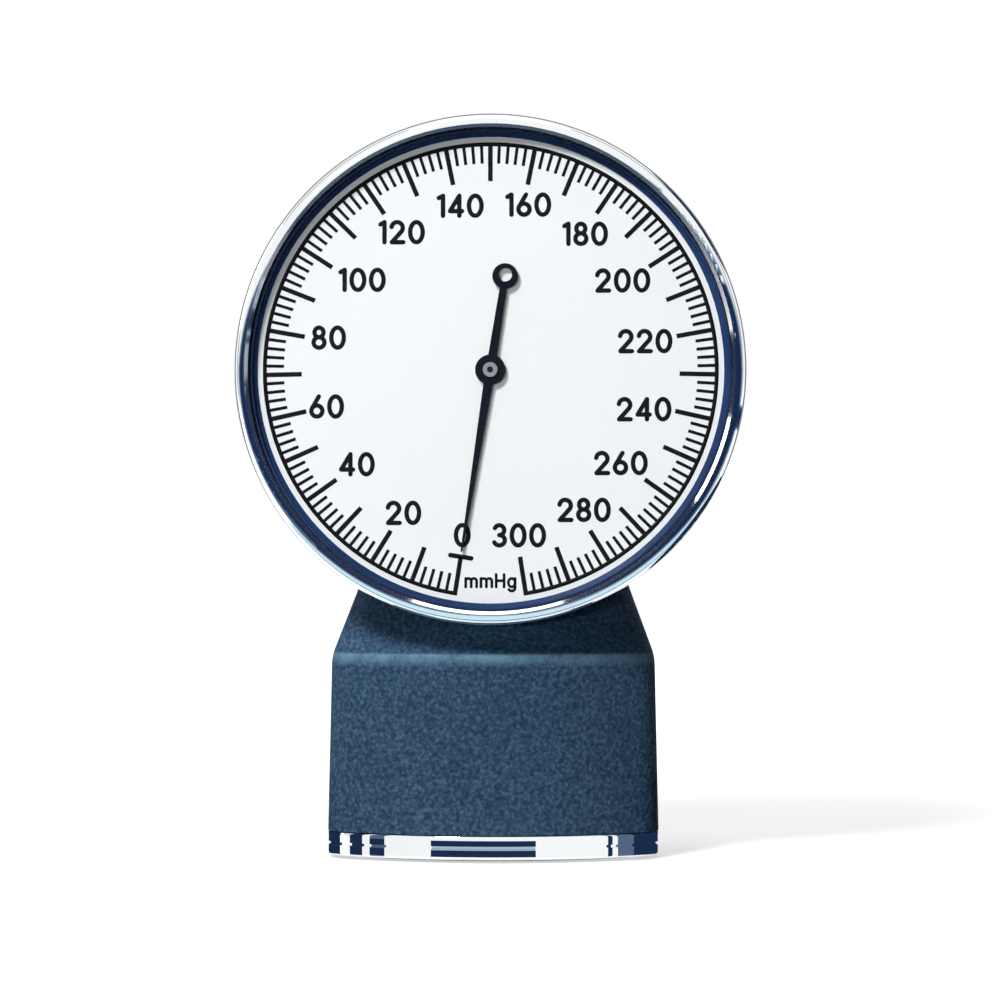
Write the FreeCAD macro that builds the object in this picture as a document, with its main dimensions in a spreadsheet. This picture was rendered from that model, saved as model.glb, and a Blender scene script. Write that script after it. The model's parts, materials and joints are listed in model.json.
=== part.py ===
import FreeCAD, Part
import math
import os
import Sketcher

# A free-standing aneroid gauge of a sphygmomanometer. Millimetres, +Z up.
# The dial faces -Y and the origin is under the foot, on the table and the middle plane.

os.makedirs("parts", exist_ok=True)
doc = FreeCAD.newDocument("AneroidGauge")
sheet = doc.addObject("Spreadsheet::Sheet", "Sizes")

SIZES = [
    # place of the gauge head over the base
    ("gauge_height", 63.9),
    ("gauge_back", 4.0),
    # case, a cup that opens to the front
    ("case_radius", 32.0),
    ("case_wall", 2.6),
    ("case_floor", 2.0),
    ("case_corner", 3.0),
    ("pocket_wall", 0.9),
    ("pocket_depth", 1.6),
    ("post_radius", 2.4),
    ("post_inset", 2.5),
    ("post_angle", 90.0),
    # bezel
    ("bezel_wall", 0.95),
    ("bezel_overlap", 0.8),
    ("bezel_fit", 0.05),
    ("bezel_skirt", 5.6),
    ("bezel_round", 1.4),
    ("bezel_edge", 0.3),
    ("bezel_lip", 0.65),
    ("bezel_bevel", 0.4),
    # lens and its gasket
    ("lens_thickness", 0.9),
    ("lens_fit", 0.1),
    ("gasket_thickness", 0.4),
    ("gasket_fit", 0.05),
    # dial plate and the ring that holds it down
    ("dial_thickness", 0.5),
    ("dial_fit", 0.1),
    ("dial_hole_radius", 1.3),
    ("dial_gap", 2.1),
    ("ring_wall", 0.85),
    ("ring_step", 0.6),
    ("ring_lip", 0.4),
    ("ring_fit", 0.05),
    ("ring_headroom", 0.1),
    # pointer, its bush and its arbor
    ("pointer_thickness", 0.4),
    ("pointer_lift", 0.45),
    ("pointer_length", 23.8),
    ("pointer_root_width", 1.25),
    ("pointer_tip_width", 0.24),
    ("pointer_hub_radius", 1.95),
    ("tail_length", 12.25),
    ("tail_root_width", 1.15),
    ("tail_end_width", 0.85),
    ("tail_ring_radius", 1.65),
    ("tail_hole_radius", 0.88),
    ("tail_hole_offset", 0.18),
    ("bush_radius", 0.95),
    ("bush_height", 0.9),
    ("bush_recess", 0.35),
    ("arbor_radius", 0.4),
    ("arbor_pivot", 0.7),
    ("pivot_fit", 0.05),
    # scale
    ("zero_angle", 9.0),
    # gear train
    ("gear_module", 0.25),
    ("pinion_teeth", 10),
    ("sector_full_teeth", 100),
    ("sector_spare_teeth", 2),
    ("tooth_shift_share", 0.4),
    ("tooth_backlash", 0.05),
    ("tooth_root_gap", 0.08),
    ("pinion_face", 1.2),
    ("sector_thickness", 0.6),
    ("sector_gap", 0.6),
    ("sector_hub_radius", 1.7),
    ("sector_rim", 1.2),
    ("sector_shaft_radius", 0.5),
    ("tail_finger_width", 1.2),
    ("tail_finger_reach", 1.7),
    # rocker
    ("rocker_ratio", 1.5),
    ("lift_arm", 3.0),
    ("lift_nose", 0.6),
    ("lift_lever_thickness", 0.7),
    ("lift_lever_width", 1.4),
    ("lever_hub_radius", 1.1),
    ("drive_hub_radius", 1.6),
    ("drive_hub_width", 1.6),
    ("drive_rod_radius", 0.5),
    ("drive_rod_spare", 0.4),
    ("lever_clearance", 0.25),
    ("rocker_radius", 0.5),
    ("rocker_overhang", 0.5),
    ("bearing_drop", 2.2),
    ("bearing_width", 1.6),
    ("bearing_depth", 3.0),
    ("bearing_floor", 0.35),
    ("bearing_inner_x", 3.4),
    ("bearing_outer_x", 11.0),
    # movement plates and their pillars
    ("plate_gap", 3.4),
    ("plate_thickness", 0.8),
    ("pillar_edge", 3.0),
    ("pillar_radius", 1.3),
    ("pillar_circle_radius", 15.0),
    ("pillar_angle", 30.0),
    ("slot_margin", 0.5),
    ("small_screw_radius", 0.7),
    ("small_head_radius", 1.3),
    ("small_head_height", 0.6),
    ("small_screw_length", 1.8),
    ("small_slot_width", 0.3),
    ("case_screw_radius", 0.9),
    ("case_head_radius", 1.8),
    ("case_head_height", 0.9),
    ("case_screw_length", 4.0),
    ("case_slot_width", 0.45),
    ("thread_fit", 0.03),
    ("screw_fit", 0.1),
    # hairspring
    ("spring_gap", 0.5),
    ("spring_height", 0.5),
    ("spring_strip", 0.15),
    ("spring_pitch", 0.85),
    ("spring_turns", 4.5),
    ("collet_radius", 1.0),
    ("stud_radius", 0.6),
    # capsule and lifter
    ("capsule_gap", 3.1),
    ("capsule_height", 2.3),
    ("capsule_sheet", 0.25),
    ("capsule_centre_radius", 4.5),
    ("capsule_flange", 1.6),
    ("capsule_wave", 0.3),
    ("capsule_waves", 3),
    ("pad_radius", 1.5),
    ("pad_thickness", 0.5),
    ("lifter_pin_radius", 0.4),
    ("lifter_pin_height", 0.5),
    # stem, which brings in the air and holds the case on the neck
    ("stem_radius", 3.0),
    ("stem_bore_radius", 0.9),
    ("stem_ledge", 1.5),
    ("stem_flange", 0.6),
    ("stem_fit", 0.1),
    ("seal_thickness", 0.3),
    ("washer_ledge", 2.2),
    ("washer_thickness", 0.5),
    ("nut_wall", 1.0),
    ("nut_thickness", 2.2),
    # elbows and the tube between them
    ("elbow_half", 2.6),
    ("elbow_wall", 0.57),
    ("elbow_drop", 1.2),
    ("spigot_radius", 1.7),
    ("spigot_length", 6.0),
    ("spigot_bore_radius", 0.8),
    ("tube_wall", 0.75),
    ("tube_fit", 0.05),
    # hose nipple
    ("nipple_height", 16.0),
    ("nipple_seat", 0.9),
    ("nipple_seal", 0.5),
    ("nipple_ledge", 1.6),
    ("nipple_flange", 1.5),
    ("nipple_neck_radius", 2.0),
    ("nipple_barb_rise", 0.6),
    ("nipple_land", 0.8),
    ("nipple_barb", 2.4),
    ("nipple_barbs", 3),
    ("nipple_run", 2.0),
    ("nipple_clamp", 1.2),
    ("nipple_nut_thickness", 1.7),
    ("nut_gap", 0.3),
    ("recess_margin", 0.4),
    # base and neck, four plans at four heights
    ("foot_lift", 0.4),
    ("band_height", 3.2),
    ("shoulder_height", 26.6),
    ("slope_height", 13.4),
    ("neck_rise", 12.1),
    ("base_half_width", 21.9),
    ("base_front", 11.6),
    ("side_draft", 0.5),
    ("front_draft", 0.4),
    ("back_draft", 0.3),
    ("slope_side", 4.9),
    ("slope_front", 8.6),
    ("neck_foot_draft", 0.6),
    ("neck_top_half_width", 10.0),
    ("neck_top_front", 2.0),
    ("neck_top_draft", 1.0),
    ("front_crown_radius", 34.0),
    ("rear_crown_radius", 60.0),
    ("base_corner", 5.5),
    ("neck_foot_corner", 5.0),
    ("neck_top_corner", 4.5),
    ("shoulder_round", 1.1),
    ("neck_foot_round", 5.0),
    ("neck_round", 3.0),
    ("housing_wall", 2.0),
    ("case_gap", 0.3),
    ("split_depth", 10.0),
    # housing fastenings
    ("boss_radius", 2.8),
    ("boss_inset", 6.5),
    ("boss_height", 14.0),
    ("neck_boss_side", 8.2),
    ("neck_boss_height", 46.5),
    ("boss_seat", 3.6),
    ("housing_screw_radius", 1.0),
    ("housing_head_radius", 1.9),
    ("housing_head_height", 1.4),
    ("boss_tip_wall", 1.6),
    ("housing_slot_width", 0.5),
    ("locating_pin_radius", 1.2),
    ("locating_pin_side", 6.5),
    ("locating_pin_drop", 11.0),
    ("locating_pin_sink", 1.3),
    # foot
    ("band_wall", 1.6),
    ("band_ledge_width", 1.2),
    ("band_ledge", 0.4),
    ("band_groove_depth", 0.25),
    ("band_groove_height", 0.35),
    ("band_round", 0.4),
    ("base_plate_fit", 0.05),
    ("base_plate_thickness", 2.4),
    ("pad_inset", 4.0),
    ("foot_screw_front", 0.9),
    ("foot_screw_back", 5.0),
    ("foot_screw_length", 7.0),
    ("ballast_gap", 0.9),
    ("ballast_inset", 6.2),
    ("ballast_back", 5.0),
    ("ballast_height", 7.6),
    ("ballast_edge", 0.8),
    # how far a cutting body runs past what it cuts
    ("overrun", 2.0),
]

for row, (alias, value) in enumerate(SIZES, start=1):
    sheet.set(f"A{row}", alias)
    sheet.set(f"B{row}", str(value))
    sheet.setAlias(f"B{row}", alias)
doc.recompute()

# How finely curves are stepped, and how edges are told apart
PRESSURE_ANGLE = 20
FLANK_STEPS = 5
SPIRAL_STEPS = 20
HEX_SIDES = 6
SOFT_STEPS = 5
NEAR = 1e-4
UPRIGHT_SHARE = 0.99

UP = FreeCAD.Vector(0, 0, 1)
ACROSS = FreeCAD.Vector(1, 0, 0)


class Size:
    """A number together with the sheet expression that it comes from."""

    def __init__(self, text, value):
        self.text = text
        self.value = float(value)

    def __add__(self, other):
        other = sized(other)
        return Size(f"({self.text} + {other.text})", self.value + other.value)

    def __sub__(self, other):
        other = sized(other)
        return Size(f"({self.text} - {other.text})", self.value - other.value)

    def __mul__(self, other):
        other = sized(other)
        return Size(f"({self.text} * {other.text})", self.value * other.value)

    def __truediv__(self, other):
        other = sized(other)
        return Size(f"({self.text} / {other.text})", self.value / other.value)

    def __neg__(self):
        return Size(f"(-1 * {self.text})", -self.value)


def sized(number):
    return number if isinstance(number, Size) else Size(repr(number), number)


def size(alias):
    return Size(f"Sizes.{alias}", sheet.get(alias))


def sine(angle):
    return Size(f"sin({angle.text} * 1 deg)", math.sin(math.radians(angle.value)))


def cosine(angle):
    return Size(f"cos({angle.text} * 1 deg)", math.cos(math.radians(angle.value)))


def tangent(angle):
    return Size(f"tan({angle.text} * 1 deg)", math.tan(math.radians(angle.value)))


def root(number):
    return Size(f"sqrt({number.text})", math.sqrt(number.value))


def bind(obj, **properties):
    for name, number in properties.items():
        number = sized(number)
        setattr(obj, name, number.value)
        obj.setExpression(name, number.text)
    return obj


def place(obj, x=0, y=0, z=0, turn=None):
    """Puts an object at a place of the part's own frame."""
    obj.Placement = FreeCAD.Placement(FreeCAD.Vector(), turn or FreeCAD.Rotation())
    for axis, number in (("x", x), ("y", y), ("z", z)):
        obj.setExpression(f"Placement.Base.{axis}", sized(number).text)
    return obj


# The gauge head has a frame of its own: x to the right, y up and z out of the dial.
FACING = FreeCAD.Rotation(ACROSS, 90)
gauge_height = size("gauge_height")
gauge_back = size("gauge_back")


def in_gauge(obj, x=0, y=0, z=0, turn=None):
    """Puts an object at a place of the gauge head's frame."""
    rotation = FACING.multiply(turn) if turn else FACING
    return place(obj, x, gauge_back - sized(z), gauge_height + sized(y), rotation)


def fix_point(sketch, geometry, position, x, y):
    """Ties a point of a sketch to its place."""
    for kind, axis, number in (("DistanceX", -2, x), ("DistanceY", -1, y)):
        number = sized(number)
        if number.value == 0:
            sketch.addConstraint(Sketcher.Constraint("PointOnObject", geometry, position, axis))
            continue
        index = sketch.addConstraint(
            Sketcher.Constraint(kind, -1, 1, geometry, position, number.value)
        )
        sketch.setExpression(f"Constraints[{index}]", number.text)


def fix_radius(sketch, geometry, radius):
    index = sketch.addConstraint(Sketcher.Constraint("Radius", geometry, radius.value))
    sketch.setExpression(f"Constraints[{index}]", radius.text)


def draw_loop(sketch, points):
    """Draws a closed outline, counter-clockwise; a third value rounds the run to the next point."""
    start = sketch.GeometryCount
    spots = [FreeCAD.Vector(sized(p[0]).value, sized(p[1]).value, 0) for p in points]
    for i, point in enumerate(points):
        begin = spots[i]
        end = spots[(i + 1) % len(points)]
        if len(point) == 2:
            sketch.addGeometry(Part.LineSegment(begin, end), False)
            continue
        chord = end - begin
        radius = point[2].value
        reach = math.sqrt(max(radius**2 - (chord.Length / 2) ** 2, 0))
        left = FreeCAD.Vector(-chord.y, chord.x, 0).normalize()
        centre = (begin + end) / 2 + left * reach
        angles = [math.atan2(p.y - centre.y, p.x - centre.x) for p in (begin, end)]
        circle = Part.Circle(centre, UP, radius)
        sketch.addGeometry(Part.ArcOfCircle(circle, *angles), False)
    for i, point in enumerate(points):
        after = start + (i + 1) % len(points)
        sketch.addConstraint(Sketcher.Constraint("Coincident", start + i, 2, after, 1))
        fix_point(sketch, start + i, 1, point[0], point[1])
        if len(point) == 3:
            fix_radius(sketch, start + i, point[2])


def draw_circle(sketch, x, y, radius):
    centre = FreeCAD.Vector(sized(x).value, sized(y).value, 0)
    index = sketch.addGeometry(Part.Circle(centre, UP, radius.value), False)
    fix_radius(sketch, index, radius)
    fix_point(sketch, index, 3, x, y)


def draw_box(sketch, x, y, width, height):
    """Draws a rectangle about its centre."""
    x = sized(x)
    y = sized(y)
    right = x + width / 2
    left = x - width / 2
    top = y + height / 2
    bottom = y - height / 2
    draw_loop(sketch, [(left, bottom), (right, bottom), (right, top), (left, top)])


def new_body(label):
    return doc.addObject("PartDesign::Body", label)


def new_sketch(body, name, role):
    sketch = body.newObject("Sketcher::SketchObject", name)
    plane = [f for f in body.Origin.OriginFeatures if f.Role == role][0]
    sketch.AttachmentSupport = [(plane, "")]
    sketch.MapMode = "FlatFace"
    return sketch


def turned(label, points):
    """A piece turned about its own z axis; points are radius and height."""
    body = new_body(label)
    sketch = new_sketch(body, f"{label}_profile", "XZ_Plane")
    draw_loop(sketch, points)
    turn = body.newObject("PartDesign::Revolution", f"{label}_turn")
    turn.Profile = sketch
    turn.ReferenceAxis = (sketch, ["V_Axis"])
    turn.Angle = 360
    return body


def ring(label, inner, outer, low, high):
    return turned(label, [(inner, low), (outer, low), (outer, high), (inner, high)])


def padded(label, thickness, draw):
    """A flat piece; draw fills the sketch on its underside."""
    body = new_body(label)
    sketch = new_sketch(body, f"{label}_plan", "XY_Plane")
    draw(sketch)
    pad = body.newObject("PartDesign::Pad", f"{label}_pad")
    pad.Profile = sketch
    bind(pad, Length=thickness)
    return body


def rod(label, radius, length):
    cylinder = doc.addObject("Part::Cylinder", label)
    return bind(cylinder, Radius=radius, Height=length)


def block(label, length, width, height):
    box = doc.addObject("Part::Box", label)
    return bind(box, Length=length, Width=width, Height=height)


def cut(label, base, tool):
    result = doc.addObject("Part::Cut", label)
    result.Base = base
    result.Tool = tool
    return result


def fuse(label, pieces):
    result = doc.addObject("Part::MultiFuse", label)
    result.Shapes = pieces
    return result


def common(label, pieces):
    result = doc.addObject("Part::MultiCommon", label)
    result.Shapes = pieces
    return result


def group(label, pieces):
    result = doc.addObject("Part::Compound", label)
    result.Links = pieces
    return result


def rounded(label, base, radius, choose):
    """Rounds the edges of a shape that choose picks."""
    doc.recompute()
    result = doc.addObject("Part::Fillet", label)
    result.Base = base
    picked = [i for i, edge in enumerate(base.Shape.Edges, start=1) if choose(edge)]
    result.Edges = [(i, radius.value, radius.value) for i in picked]
    return result


def on_circle(radius, first_angle, count):
    """Places at even steps round a circle of the gauge head."""
    places = []
    for i in range(count):
        angle = first_angle + i * 360 / count
        places.append((radius * cosine(angle), radius * sine(angle)))
    return places


def slotted_screw(label, radius, length, head_radius, head_height, slot_width):
    """A screw along z, its head upward on z = 0, with a slot across the head."""
    shape = turned(
        f"{label}_blank",
        [
            (0, -length),
            (radius, -length),
            (radius, 0),
            (head_radius, 0),
            (head_radius, head_height),
            (0, head_height),
        ],
    )
    slot = block(f"{label}_slot", head_radius * 4, slot_width, head_height)
    place(slot, head_radius * -2, slot_width / -2, head_height / 2)
    return cut(label, shape, slot)


nodes = []


def node(obj):
    nodes.append(obj)
    return obj


overrun = size("overrun")

# Levels of the gauge head, from the back of the case to its front.
case_radius = size("case_radius")
case_floor = size("case_floor")
seal_level = case_floor
flange_level = seal_level + size("seal_thickness")
capsule_level = flange_level + size("stem_flange")
capsule_top = capsule_level + size("capsule_height")
pad_top = capsule_top + size("pad_thickness")
pin_top = pad_top + size("lifter_pin_height")

# The pointer goes from zero to the end of the scale; the sector and the rocker turn less.
sweep_angle = Size("360", 360) - size("zero_angle") * 2
gear_ratio = size("sector_full_teeth") / size("pinion_teeth")
sector_angle = sweep_angle / gear_ratio
rocker_angle = sector_angle / size("rocker_ratio")
sector_half_angle = sector_angle / 2
rocker_half_angle = rocker_angle / 2

lift_arm = size("lift_arm")
lever_clearance = size("lever_clearance")
rocker_level = (
    pin_top
    + lever_clearance
    + size("lift_lever_thickness") / 2
    + lift_arm * tangent(rocker_half_angle)
)
plate_thickness = size("plate_thickness")
plate_level = rocker_level + size("bearing_drop")
plate_top = plate_level + plate_thickness
sector_level = plate_top + size("sector_gap")
sector_top = sector_level + size("sector_thickness")
spring_level = sector_top + size("spring_gap")
spring_top = spring_level + size("spring_height")
top_plate_level = spring_top + size("spring_gap")
top_plate_top = top_plate_level + plate_thickness
dial_level = top_plate_top + size("small_head_height") + size("dial_gap")
dial_top = dial_level + size("dial_thickness")
case_depth = dial_level + size("pocket_depth")
lens_level = case_depth + size("gasket_thickness")
lens_top = lens_level + size("lens_thickness")
bezel_top = lens_top + size("bezel_lip")
bezel_level = case_depth - size("bezel_skirt")
pointer_level = dial_top + size("pointer_lift")
pointer_top = pointer_level + size("pointer_thickness")
bush_top = pointer_level + size("bush_height")

# Case
case_inner_radius = case_radius - size("case_wall")
pocket_radius = case_radius - size("pocket_wall")
stem_hole_radius = size("stem_radius") + size("stem_fit")
case_corner = size("case_corner")
case_cup = turned(
    "case_cup",
    [
        (stem_hole_radius, 0),
        (case_radius - case_corner, 0, case_corner),
        (case_radius, case_corner),
        (case_radius, case_depth),
        (pocket_radius, case_depth),
        (pocket_radius, dial_level),
        (case_inner_radius, dial_level),
        (case_inner_radius, case_floor),
        (stem_hole_radius, case_floor),
    ],
)
in_gauge(case_cup)
plate_radius = case_inner_radius - size("plate_gap")
post_circle_radius = plate_radius - size("post_inset")
case_screw_places = on_circle(post_circle_radius, size("post_angle"), 3)
case_posts = []
case_post_holes = []
tap_depth = size("case_screw_length") - plate_thickness + size("thread_fit")
tap_radius = size("case_screw_radius") + size("thread_fit")
for i, (x, y) in enumerate(case_screw_places):
    case_posts.append(in_gauge(rod(f"case_post_{i}", size("post_radius"), plate_level), x, y))
    hole = rod(f"case_post_hole_{i}", tap_radius, tap_depth + overrun)
    case_post_holes.append(in_gauge(hole, x, y, plate_level - tap_depth))
pin_radius = size("locating_pin_radius")
pin_places = []
for side in (-1, 1):
    pin_places.append((size("locating_pin_side") * side, -size("locating_pin_drop")))
pin_sockets = []
for i, (x, y) in enumerate(pin_places):
    socket = rod(
        f"pin_socket_{i}",
        pin_radius + size("thread_fit"),
        size("locating_pin_sink") + overrun,
    )
    pin_sockets.append(in_gauge(socket, x, y, -overrun))
case_solid = fuse("case_solid", [case_cup] + case_posts)
case_voids = fuse("case_voids", case_post_holes + pin_sockets)
node(cut("gauge_case", case_solid, case_voids))

pins = []
for i, (x, y) in enumerate(pin_places):
    pin = rod(f"locating_pin_{i}", pin_radius, size("locating_pin_sink") + size("housing_wall"))
    pins.append(in_gauge(pin, x, y, -size("housing_wall")))
node(group("locating_pins", pins))

# Bezel, a rolled ring whose lip holds the lens down
bezel_inner_radius = case_radius + size("bezel_fit")
bezel_radius = bezel_inner_radius + size("bezel_wall")
bezel_round = size("bezel_round")
bezel_edge = size("bezel_edge")
bezel_opening_radius = case_radius - size("bezel_overlap")
bezel = turned(
    "bezel",
    [
        (bezel_inner_radius, bezel_level),
        (bezel_radius - bezel_edge, bezel_level, bezel_edge),
        (bezel_radius, bezel_level + bezel_edge),
        (bezel_radius, bezel_top - bezel_round, bezel_round),
        (bezel_radius - bezel_round, bezel_top),
        (bezel_opening_radius, bezel_top - size("bezel_bevel")),
        (bezel_opening_radius, lens_top),
        (bezel_inner_radius, lens_top),
    ],
)
node(in_gauge(bezel))

# Lens on its gasket
gasket_radius = case_radius - size("gasket_fit")
node(in_gauge(ring("lens_gasket", pocket_radius, gasket_radius, case_depth, lens_level)))
lens = rod("lens", case_radius - size("lens_fit"), size("lens_thickness"))
node(in_gauge(lens, z=lens_level))

# Dial plate, held down by a ring with a low sloping lip
dial = ring(
    "dial_plate",
    size("dial_hole_radius"),
    pocket_radius - size("dial_fit"),
    dial_level,
    dial_top,
)
node(in_gauge(dial))
ring_radius = pocket_radius - size("ring_fit")
ring_opening_radius = ring_radius - size("ring_wall")
ring_top = lens_level - size("ring_headroom")
ring_lip = size("ring_lip")
dial_ring = turned(
    "dial_ring",
    [
        (ring_opening_radius, dial_top),
        (ring_radius, dial_top),
        (ring_radius, ring_top),
        (ring_opening_radius + size("ring_step"), ring_top),
        (ring_opening_radius + size("ring_step"), dial_top + ring_lip),
        (ring_opening_radius, dial_top + ring_lip / 2),
    ],
)
node(in_gauge(dial_ring))

# Arbor of the pointer, with its pinion
arbor_radius = size("arbor_radius")
arbor_level = plate_top - size("arbor_pivot")
arbor_top = bush_top - size("bush_recess")
arbor = rod("arbor", arbor_radius, arbor_top - arbor_level)
node(in_gauge(arbor, z=arbor_level))
arbor_hole_radius = arbor_radius + size("pivot_fit")

# Pointer, drawn as it stands at zero: a tapered needle, a hub and a tail with a ring
pointer_turn = FreeCAD.Rotation(UP, -size("zero_angle").value)
bush_radius = size("bush_radius")


def draw_needle(sketch):
    half_root = size("pointer_root_width") / 2
    half_tip = size("pointer_tip_width") / 2
    reach = size("pointer_length")
    draw_loop(sketch, [(-half_root, 0), (-half_tip, -reach), (half_tip, -reach), (half_root, 0)])


def draw_tail(sketch):
    half_root = size("tail_root_width") / 2
    half_end = size("tail_end_width") / 2
    reach = size("tail_length")
    draw_loop(sketch, [(half_root, 0), (half_end, reach), (-half_end, reach), (-half_root, 0)])


pointer_thickness = size("pointer_thickness")
pointer_turned = []
for label, draw in (("pointer_needle", draw_needle), ("pointer_tail", draw_tail)):
    pointer_turned.append(padded(label, pointer_thickness, draw))
pointer_turned.append(rod("pointer_hub", size("pointer_hub_radius"), pointer_thickness))
tail_ring = rod("pointer_tail_ring", size("tail_ring_radius"), pointer_thickness)
pointer_turned.append(place(tail_ring, y=size("tail_length")))
pointer_blank = fuse("pointer_blank", pointer_turned)
tail_hole = rod("pointer_tail_hole", size("tail_hole_radius"), pointer_thickness + overrun * 2)
place(tail_hole, y=size("tail_length") + size("tail_hole_offset"), z=-overrun)
bush_hole = rod("pointer_bush_hole", bush_radius, pointer_thickness + overrun * 2)
place(bush_hole, z=-overrun)
pointer = cut("pointer", pointer_blank, fuse("pointer_holes", [tail_hole, bush_hole]))
node(in_gauge(pointer, z=pointer_level, turn=pointer_turn))

bush = ring("pointer_bush", arbor_radius, bush_radius, pointer_level, bush_top)
node(in_gauge(bush))

# Gear train. The sector's pivot lies beside the rocker, at the height of its axis.
gear_module = size("gear_module")
pinion_pitch_radius = gear_module * size("pinion_teeth") / 2
sector_pitch_radius = gear_module * size("sector_full_teeth") / 2
centre_distance = pinion_pitch_radius + sector_pitch_radius
pivot_y = -lift_arm
pivot_x = -root(centre_distance * centre_distance - lift_arm * lift_arm)
pivot_angle = math.degrees(math.atan2(pivot_y.value, pivot_x.value))
drive_height = sector_level + size("sector_thickness") / 2 - rocker_level
tail_arm = drive_height / size("rocker_ratio")


def flank(pitch_radius, teeth, shift, low, high, thin):
    """Half angles of a tooth at radii from its root to its tip, on an involute flank."""
    pressure = math.radians(PRESSURE_ANGLE)
    base = pitch_radius * math.cos(pressure)
    half = math.pi / (2 * teeth) + 2 * shift * math.tan(pressure) / teeth - thin / (2 * pitch_radius)
    rolled_in = math.tan(pressure) - pressure
    result = []
    for i in range(FLANK_STEPS + 1):
        radius = low + (high - low) * i / FLANK_STEPS
        tilt = math.acos(min(base / radius, 1))
        result.append((radius, half + rolled_in - (math.tan(tilt) - tilt)))
    return result


def polar(radius, angle):
    return FreeCAD.Vector(radius * math.cos(angle), radius * math.sin(angle), 0)


def tooth_points(profile, middle):
    """The points of one tooth, from its right root over the tip to its left root."""
    right = [polar(radius, middle - half) for radius, half in profile]
    left = [polar(radius, middle + half) for radius, half in reversed(profile)]
    return right + left


def flat_solid(points, thickness):
    wire = Part.makePolygon(points + [points[0]])
    return Part.Face(wire).extrude(UP * thickness)


def shaped(label, shape):
    feature = doc.addObject("Part::Feature", label)
    feature.Shape = shape
    return feature


module = gear_module.value
shift_share = size("tooth_shift_share").value
backlash = size("tooth_backlash").value
root_gap = size("tooth_root_gap").value
teeth = round(size("pinion_teeth").value)
full_teeth = round(size("sector_full_teeth").value)
pinion_tip = pinion_pitch_radius.value + module * (1 + shift_share)
pinion_root = pinion_pitch_radius.value - module * (1 - shift_share) - root_gap
sector_tip = sector_pitch_radius.value + module * (1 - shift_share)
sector_root = sector_pitch_radius.value - module * (1 + shift_share) - root_gap

# The pinion has a gap, and the sector a tooth, on the line between their centres.
pinion_profile = flank(
    pinion_pitch_radius.value, teeth, shift_share, pinion_root, pinion_tip, backlash
)
pinion_points = []
for i in range(teeth):
    middle = math.radians(pivot_angle) + (i + 0.5) * 2 * math.pi / teeth
    pinion_points += tooth_points(pinion_profile, middle)
pinion_face = size("pinion_face")
pinion_solid = flat_solid(pinion_points, pinion_face.value)
pinion_bore = Part.makeCylinder(arbor_radius.value, pinion_face.value)
pinion_level = sector_level + size("sector_thickness") / 2 - pinion_face / 2
node(in_gauge(shaped("pinion", pinion_solid.cut(pinion_bore)), z=pinion_level))

sector_profile = flank(
    sector_pitch_radius.value, full_teeth, -shift_share, sector_root, sector_tip, backlash
)
tooth_step = 2 * math.pi / full_teeth
towards_pinion = math.radians(pivot_angle) + math.pi
spare_teeth = round(size("sector_spare_teeth").value)
used_teeth = math.ceil(sector_angle.value * full_teeth / 360)
sector_points = []
for k in range(-used_teeth - spare_teeth, spare_teeth + 1):
    sector_points += tooth_points(sector_profile, towards_pinion + k * tooth_step)
sector_thickness = size("sector_thickness")
sector_hub_radius = size("sector_hub_radius")
first_angle = towards_pinion - (used_teeth + spare_teeth + 0.5) * tooth_step
last_angle = towards_pinion + (spare_teeth + 0.5) * tooth_step
rim_radius = sector_root - size("sector_rim").value
hub = sector_hub_radius.value
quarter = math.pi / 2
blade_points = [polar(rim_radius, first_angle)] + sector_points + [polar(rim_radius, last_angle)]
blade_points += [polar(hub, last_angle + quarter / 2), polar(hub, first_angle - quarter / 2)]
blade = flat_solid(blade_points, sector_thickness.value)
hub_disc = Part.makeCylinder(hub, sector_thickness.value)
finger_half = size("tail_finger_width").value / 2
finger_reach = tail_arm.value + size("tail_finger_reach").value
finger_points = [
    FreeCAD.Vector(0, -finger_half, 0),
    FreeCAD.Vector(0, finger_half, 0),
    FreeCAD.Vector(-finger_reach, finger_half, 0),
    FreeCAD.Vector(-finger_reach, -finger_half, 0),
]
finger = flat_solid(finger_points, sector_thickness.value)
finger.rotate(FreeCAD.Vector(), UP, -sector_half_angle.value)
sector_shaft_radius = size("sector_shaft_radius")
sector_bore = Part.makeCylinder(sector_shaft_radius.value, sector_thickness.value)
sector_shape = blade.multiFuse([hub_disc, finger]).removeSplitter().cut(sector_bore)
node(in_gauge(shaped("sector_gear", sector_shape), pivot_x, pivot_y, sector_level))
sector_shaft = rod("sector_shaft", sector_shaft_radius, top_plate_top - plate_level)
node(in_gauge(sector_shaft, pivot_x, pivot_y, plate_level))
sector_shaft_hole_radius = sector_shaft_radius + size("pivot_fit")

# Rocker. Its levers are drawn half way through their travel and turned back to rest.
# In its frame x runs along the shaft, y and z as in the gauge head.
rocker_turn = FreeCAD.Rotation(ACROSS, -rocker_half_angle.value)
ALONG = FreeCAD.Rotation(FreeCAD.Vector(0, 1, 0), 90)
rocker_radius = size("rocker_radius")
drive_x = pivot_x - tail_arm
drive_hub_width = size("drive_hub_width")
rod_offset = size("tail_finger_width") / 2 + size("drive_rod_radius") + lever_clearance
bearing_width = size("bearing_width")
shaft_left = drive_x - drive_hub_width / 2 - size("rocker_overhang")
shaft_right = size("bearing_inner_x") + bearing_width / 2 + size("rocker_overhang")
rocker_shaft = rod("rocker_shaft", rocker_radius, shaft_right - shaft_left)
node(in_gauge(rocker_shaft, shaft_left, pivot_y, rocker_level, ALONG))


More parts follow.
